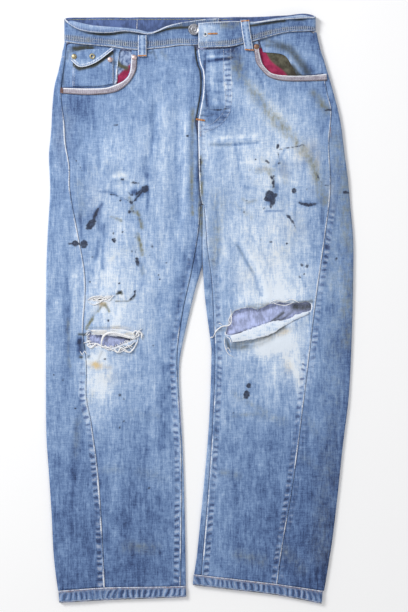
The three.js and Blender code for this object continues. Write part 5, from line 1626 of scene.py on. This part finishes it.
def fly_underlap():
    """The strip that shows under the fly's edge."""
    s, t = np.meshgrid(np.linspace(0, 1, 48), np.linspace(0, 1, 18), indexing="ij")
    y = mix(455, 336, s)
    x = fly_edge(y) + mix(-12, 26, t)
    grid = np.stack([x, y, top(x, y) - 2.2], -1)
    lay("fly_underlap", grid, DENIM, denim_cloth,
        worn(x, y, spot=CLEAN), up=(20, 8))


def torn_edges():
    """The turned-back strip below the left gash and the rolled strip above the right tear."""
    lifted = lambda s, t: 1.9 + 0.9 * np.sin(math.pi * s) + 0.3 * np.sin(t * 26)
    for name, edge, fold, warmth, under in (
        ("knee_strip_left", STRIP_EDGE, STRIP_FOLD, 0.1, "front_left"),
        ("knee_fringe_right", FRINGE_EDGE, FRINGE_TOP, 0.5, "front_right"),
    ):
        grid, x, y, s, t = patch(edge, fold, 12, 90, lifted)
        grid[..., 1] += 0.8 * lattice(x, y, 3, 6, 81) * (1 - s)
        ridge = np.maximum(1 - smooth(0.05, 0.3, s), 0.9 * smooth(0.75, 1, s))
        marks = worn(x, y, spot=CLEAN, ridge=ridge, soil=0, fade=1.0 + 0.16 * lattice(x, y, 8, 3, 82),
                     tinge=warmth * (0.6 + 0.7 * lattice(x, y, 14, 5, 83)))
        lay(name, grid, TRIM, denim_cloth, marks)


# ---- metal ----


def hardware():
    """The waist button, the rivets and the eyelet."""
    lathe("waist_button", BUTTON, (*BUTTON_PLACE, 11), steel, 56)
    for name, (x, y), rise, metal in (
        ("rivet_coin_flap", (-221, 443), 4.6, brass), ("rivet_coin_pocket", (-157.5, 437.5), 5.1, copper),
        ("rivet_pocket_right", (-115, 441.5), 2.8, copper), ("rivet_pocket_left", (100.5, 461), 2.8, bronze),
    ):
        lathe(name, RIVET, (x, y, top(x, y) + rise), metal)
    x, y = -189, 443.5
    lathe("eyelet_coin_flap", EYELET, (x, y, top(x, y) + 4.8), brass)


# ---- stitches and frays ----


class Tree(Nodes):
    """A Geometry Nodes tree that sets small pieces along lines."""

    def __init__(self, name):
        super().__init__(bpy.data.node_groups.new(name, "GeometryNodeTree"))
        face = self.net.interface
        self.inputs = {}
        for key, kind in (("Lines", "Geometry"), ("Pitch", "Float"), ("Length", "Float"), ("Width", "Float"),
                          ("Lean", "Float"), ("Spread", "Float"), ("Seed", "Int"), ("Material", "Material")):
            self.inputs[key] = face.new_socket(key, in_out="INPUT", socket_type="NodeSocket" + kind)
        face.new_socket("Pieces", in_out="OUTPUT", socket_type="NodeSocketGeometry")
        self.start = self.net.nodes.new("NodeGroupInput")

    def node(self, kind, settings=None, sockets=None):
        """Any node; a word for a socket's value means the tree's own input of that name."""
        own = {k: self.start.outputs[v] if isinstance(v, str) else v for k, v in (sockets or {}).items()}
        return super().node(kind, settings, own)

    def finish(self, one_piece):
        """Sets copies of one piece, which points along +X, on the lines."""
        def made(*given):
            return self.node(*given).outputs[0]

        line = made("GeometryNodeMeshToCurve", {}, {"Mesh": "Lines"})
        points = made("GeometryNodeResampleCurve", {"mode": "LENGTH"}, {"Curve": line, "Length": "Pitch"})
        along = made("FunctionNodeAlignRotationToVector", {"axis": "X", "pivot_axis": "Z"},
                     {"Vector": made("GeometryNodeInputTangent")})
        low, high = (made("ShaderNodeMath", {"operation": kind}, {0: "Lean", 1: "Spread"})
                     for kind in ("SUBTRACT", "ADD"))
        chance = "FunctionNodeRandomValue", {"data_type": "FLOAT"}
        swing = self.node(*chance, {2: low, 3: high, "Seed": "Seed"})
        size = self.node(*chance, {2: 0.7, 3: 1.15, "Seed": "Seed"})
        lean = made("ShaderNodeCombineXYZ", {}, {"Z": swing.outputs[1]})
        turned = made("FunctionNodeRotateRotation", {"rotation_space": "LOCAL"},
                      {"Rotation": along, "Rotate By": lean})
        copies = made("GeometryNodeInstanceOnPoints", {}, {
            "Points": points, "Instance": one_piece, "Rotation": turned, "Scale": size.outputs[1]})
        real = made("GeometryNodeRealizeInstances", {}, {"Geometry": copies})
        rounded = made("GeometryNodeSetShadeSmooth", {}, {0: real})
        coated = made("GeometryNodeSetMaterial", {}, {"Geometry": rounded, "Material": "Material"})
        self.node("NodeGroupOutput", {}, {0: coated})
        return self


def stitch_tree():
    """Sets long beads of thread."""
    tree = Tree("stitches")
    bead = tree.node("GeometryNodeMeshUVSphere", {}, {"Segments": 5, "Rings": 4, "Radius": 0.5})
    size = tree.node("ShaderNodeCombineXYZ", {}, {"X": "Length", "Y": "Width", "Z": "Width"})
    shaped = tree.node("GeometryNodeTransform", {}, {"Geometry": bead.outputs[0], "Scale": size.outputs[0]})
    return tree.finish(shaped.outputs[0])


def fray_tree():
    """Sets short bent ends of thread."""
    tree = Tree("frays")
    arc = tree.node("GeometryNodeCurveQuadraticBezier", {}, {
        "Resolution": 5, "Start": (0, 0, 0), "Middle": (0.55, 0.22, 0.12), "End": (1, 0, -0.04)})
    size = tree.node("ShaderNodeCombineXYZ", {}, {"X": "Length", "Y": "Length", "Z": "Length"})
    long = tree.node("GeometryNodeTransform", {}, {"Geometry": arc.outputs[0], "Scale": size.outputs[0]})
    section = tree.node("GeometryNodeCurvePrimitiveCircle", {"mode": "RADIUS"}, {
        "Resolution": 4, "Radius": "Width"})
    thread = tree.node("GeometryNodeCurveToMesh", {}, {
        "Curve": long.outputs[0], "Profile Curve": section.outputs[0], "Fill Caps": True})
    return tree.finish(thread.outputs[0])


def set_along(tree, name, lines, material, pitch, length, width, lean=0.0, spread=0.04, seed=1):
    """A piece made of a tree's small pieces along lines of points in millimetres."""
    points = np.vstack(lines) * MM
    edges, count = [], 0
    for line in lines:
        edges += [(count + k, count + k + 1) for k in range(len(line) - 1)]
        count += len(line)
    mesh = bpy.data.meshes.new(name)
    mesh.from_pydata(points.tolist(), edges, [])
    helper = bpy.data.objects.new(name + "_lines", mesh)
    bpy.context.scene.collection.objects.link(helper)
    modifier = helper.modifiers.new("set", "NODES")
    modifier.node_group = tree.net
    for key, value in (("Pitch", pitch * MM), ("Length", length * MM), ("Width", width * MM), ("Lean", lean),
                       ("Spread", spread), ("Seed", seed), ("Material", material)):
        modifier[tree.inputs[key].identifier] = value
    graph = bpy.context.evaluated_depsgraph_get()
    made = bpy.data.meshes.new_from_object(helper.evaluated_get(graph))
    bpy.data.objects.remove(helper)
    made.name = name
    return link(name, made, material)


def on_front(points, above, step=1.5):
    """A smooth line through points, lying above the front."""
    line = evenly(points, step)
    return np.column_stack([line, top(line[:, 0], line[:, 1]) + above])


def on_grid(grid, share, above):
    """A line along a grid's rows at a share of the way across it, lying above its outside."""
    column = int(round(share * (grid.shape[1] - 1)))
    normal = normals(grid)[:, column]
    outward = np.sign(normal[:, 2:3]) * normal
    return grid[:, column] + above * outward


def band_height(band_points, x, y):
    """Height of the front of the waistband near x, y."""
    near = np.hypot(band_points[..., 0] - x, band_points[..., 1] - y) < 4
    return band_points[..., 2][near].max()


def bar(x0, y0, x1, y1, z, rows=3, gap=0.55):
    """The close zigzag lines of a bar tack."""
    dx, dy = x1 - x0, y1 - y0
    length = math.hypot(dx, dy)
    nx, ny = -dy / length, dx / length
    lines = []
    for k in range(rows):
        off = (k - (rows - 1) / 2) * gap
        lines.append(evenly([(x0 + nx * off, y0 + ny * off, z), (x1 + nx * off, y1 + ny * off, z)], 0.8))
    return lines


def sewing(band_points):
    """Every visible row of stitches, one piece for each colour of thread."""
    stitches = stitch_tree()
    outside = (band_points[:, 4, 2] > 8) & (band_points[:, 4, 1] > 440)
    rows = [on_grid(band_points, share, BAND / 2 + 0.25)[outside] for share in (0.07, 0.2)]
    split = [np.split(r, np.where(np.linalg.norm(np.diff(r, axis=0), axis=1) > 12)[0] + 1) for r in rows]
    band_rows = [line for part in split for line in part if len(line) > 2]
    fly = [on_front(points, DENIM / 2 + 1.3) for points in FLY_ROWS]
    set_along(stitches, "thread_pale", band_rows + fly, pale_thread, 2.9, 2.3, 0.75)

    flap = evenly([(x, y + 1.6) for x, y in FLAP_EDGE], 1.0)
    flap = np.column_stack([flap, top(flap[:, 0], flap[:, 1]) + 4.9])
    coin = [on_front(points, 1.6) for points in ([(-221, 392), (-220, 436)], [(-154.5, 398), (-153.5, 440)])]
    mouths = []
    for side in NAMES:
        for share in (0.3, 0.62):
            line = [(mix(a[0], b[0], share), mix(a[1], b[1], share)) for a, b in
                    zip(BINDING_OUTER[side], BINDING_INNER[side])]
            mouths.append(on_front(line, 2.75))
    set_along(stitches, "thread_white", [flap] + coin + mouths, white_thread, 2.6, 2.0, 0.6)

    z = band_height(band_points, 19, 482) + BAND / 2
    turn = np.linspace(0, 2 * math.pi, 25)
    x, y = KEYHOLE
    ring = np.column_stack([x + 3.4 * np.cos(turn), y + 3.4 * np.sin(turn), 0 * turn + z + 0.3])
    join_tubes("thread_keyhole", [tube(ring, 1.0)], white_thread)
    tacks = bar(15, 482.5, 31, 483, z + 0.5, 4, 0.6)
    tacks += bar(73, 504.5, 87, 505.5, 17.4, 3, 0.6) + bar(80, 455.5, 95, 454.5, 12.2, 3, 0.6)
    tacks += bar(-109, 444.5, -94, 445, 11.9, 3, 0.6)
    tacks += bar(-6, 333, 9, 331, float(top(2, 333)) + 2.6, 4, 0.7)
    hems = [hem_lines[side] for side in NAMES]
    set_along(stitches, "thread_amber", tacks, amber_thread, 0.7, 1.5, 0.7, 1.2, 0.3)
    set_along(stitches, "thread_amber_hems", hems, amber_thread, 3.4, 2.6, 0.7)
    bits = [on_front(points, DENIM / 2 + 1.2) for points in SEAM_BITS]
    set_along(stitches, "thread_amber_seams", bits, amber_thread, 2.4, 2.0, 0.7)
    binding_tacks = bar(-243, 388, -243, 379, float(top(-243, 384)) + 3.2, 5, 0.9)
    set_along(stitches, "thread_brown", binding_tacks, brown_thread, 0.7, 1.6, 0.7, 1.2, 0.3)
    behind = (band_points[:, 12, 2] < 3.2) & (band_points[:, 12, 0] < 60)
    back_row = on_grid(band_points, 0.91, BAND / 2 + 0.25)[behind]
    set_along(stitches, "thread_yellow", [back_row], yellow_thread, 2.6, 2.5, 1.0)
    seam = [np.array([(-111 + 0.04 * (y - 490), y, 4.4) for y in range(486, 511, 2)])]
    set_along(stitches, "thread_white_seam", seam, white_thread, 1.6, 1.8, 1.3)


def frays():
    """Loose ends of cotton along the torn edges, and the long strands that hang across them."""
    fringe = fray_tree()
    into = -math.pi / 2
    lines = [on_front(KNEE_TEAR[3:] + KNEE_TEAR[:1], DENIM / 2, 1.0)]
    set_along(fringe, "fringe_in", lines, white_thread, 2.6, 4.4, 0.55, into, 0.9, 3)
    set_along(fringe, "fringe_out", lines, white_thread, 3.2, 5.4, 0.55, -into, 1.2, 5)
    lips = [on_front(points, DENIM / 2 - 0.3, 1.0) for points in (KNEE_TEAR, KNEE_GASH[1:4])]
    set_along(fringe, "fringe_blue", lips, blue_thread, 5.5, 3.2, 0.4, into, 1.1, 4)
    upper, lower = curve(THIGH_TEAR[:3], LOOSE_RUNS), curve([THIGH_TEAR[0], *THIGH_TEAR[:1:-1]], LOOSE_RUNS)
    strands = []
    for *points, radius, above in STRANDS:
        line = evenly(points, 1.2)
        wave = 0.6 * lattice(line[:, 0], line[:, 1], 5, 5, 91)
        strands.append(tube(np.column_stack([line, top(line[:, 0], line[:, 1]) + above + wave]), radius))
    for share in (0.0, 0.2, 0.42, 0.8, 1.0):
        sway = 0.5 * np.sin(np.arange(len(upper)) * 0.9 + 7 * share)
        line = mix(upper, lower, share) + sway[:, None] * (0, 1)
        strands.append(tube(np.column_stack([line, top(line[:, 0], line[:, 1]) + 1.2]), 0.7))
    join_tubes("strands", strands, white_thread)


# ---- the garment ----

hem_lines = {}
for side in NAMES:
    front(side)
    back(side)
    yoke(side)
    hem_lines[side] = hem(side)
    back_pocket(side)
    pockets(side)
band_points = waistband()
belt_loops()
coin_pocket()
fly_underlap()
torn_edges()
hardware()
sewing(band_points)
frays()

# ---- floor, light and camera ----


def floor():
    mesh = bpy.data.meshes.new("floor")
    corners = [(x, y, FLOOR_LEVEL) for x, y in ((-6, -6), (6, -6), (6, 6), (-6, 6))]
    mesh.from_pydata(corners, [], [(0, 1, 2, 3)])
    ground = bpy.data.objects.new("floor", mesh)
    bpy.context.scene.collection.objects.link(ground)
    f = Finish("white_paper")
    mesh.materials.append(f.output(rgb(247, 247, 248), 0.95, specular=0.1))


def lamp(name, place, size, power, colour=(1, 1, 1)):
    light = bpy.data.lights.new(name, "AREA")
    light.shape, light.size, light.energy, light.color = "DISK", size, power, colour
    lit = bpy.data.objects.new(name, light)
    bpy.context.scene.collection.objects.link(lit)
    lit.location = place
    lit.rotation_euler = (-lit.location).to_track_quat("-Z", "Y").to_euler()


def studio():
    world = bpy.data.worlds.new("studio")
    world.use_nodes = True
    background = world.node_tree.nodes["Background"]
    background.inputs["Color"].default_value = (1, 1, 1, 1)
    background.inputs["Strength"].default_value = 0.56
    scene = bpy.context.scene
    scene.world = world
    scene.view_settings.view_transform = "Standard"
    lamp("key", (-1.7, 1.5, 1.7), 1.0, 60)
    lamp("fill", (1.4, -1.2, 2.2), 1.4, 8)


def camera():
    lens = bpy.data.cameras.new("camera")
    lens.lens, lens.sensor_width = 85, 36
    eye = bpy.data.objects.new("camera", lens)
    bpy.context.scene.collection.objects.link(eye)
    eye.location = (7.8 * MM, 3.7 * MM, VIEW_HEIGHT * MM * lens.lens / lens.sensor_width)
    bpy.context.scene.camera = eye


floor()
studio()
camera()
bpy.context.view_layer.update()
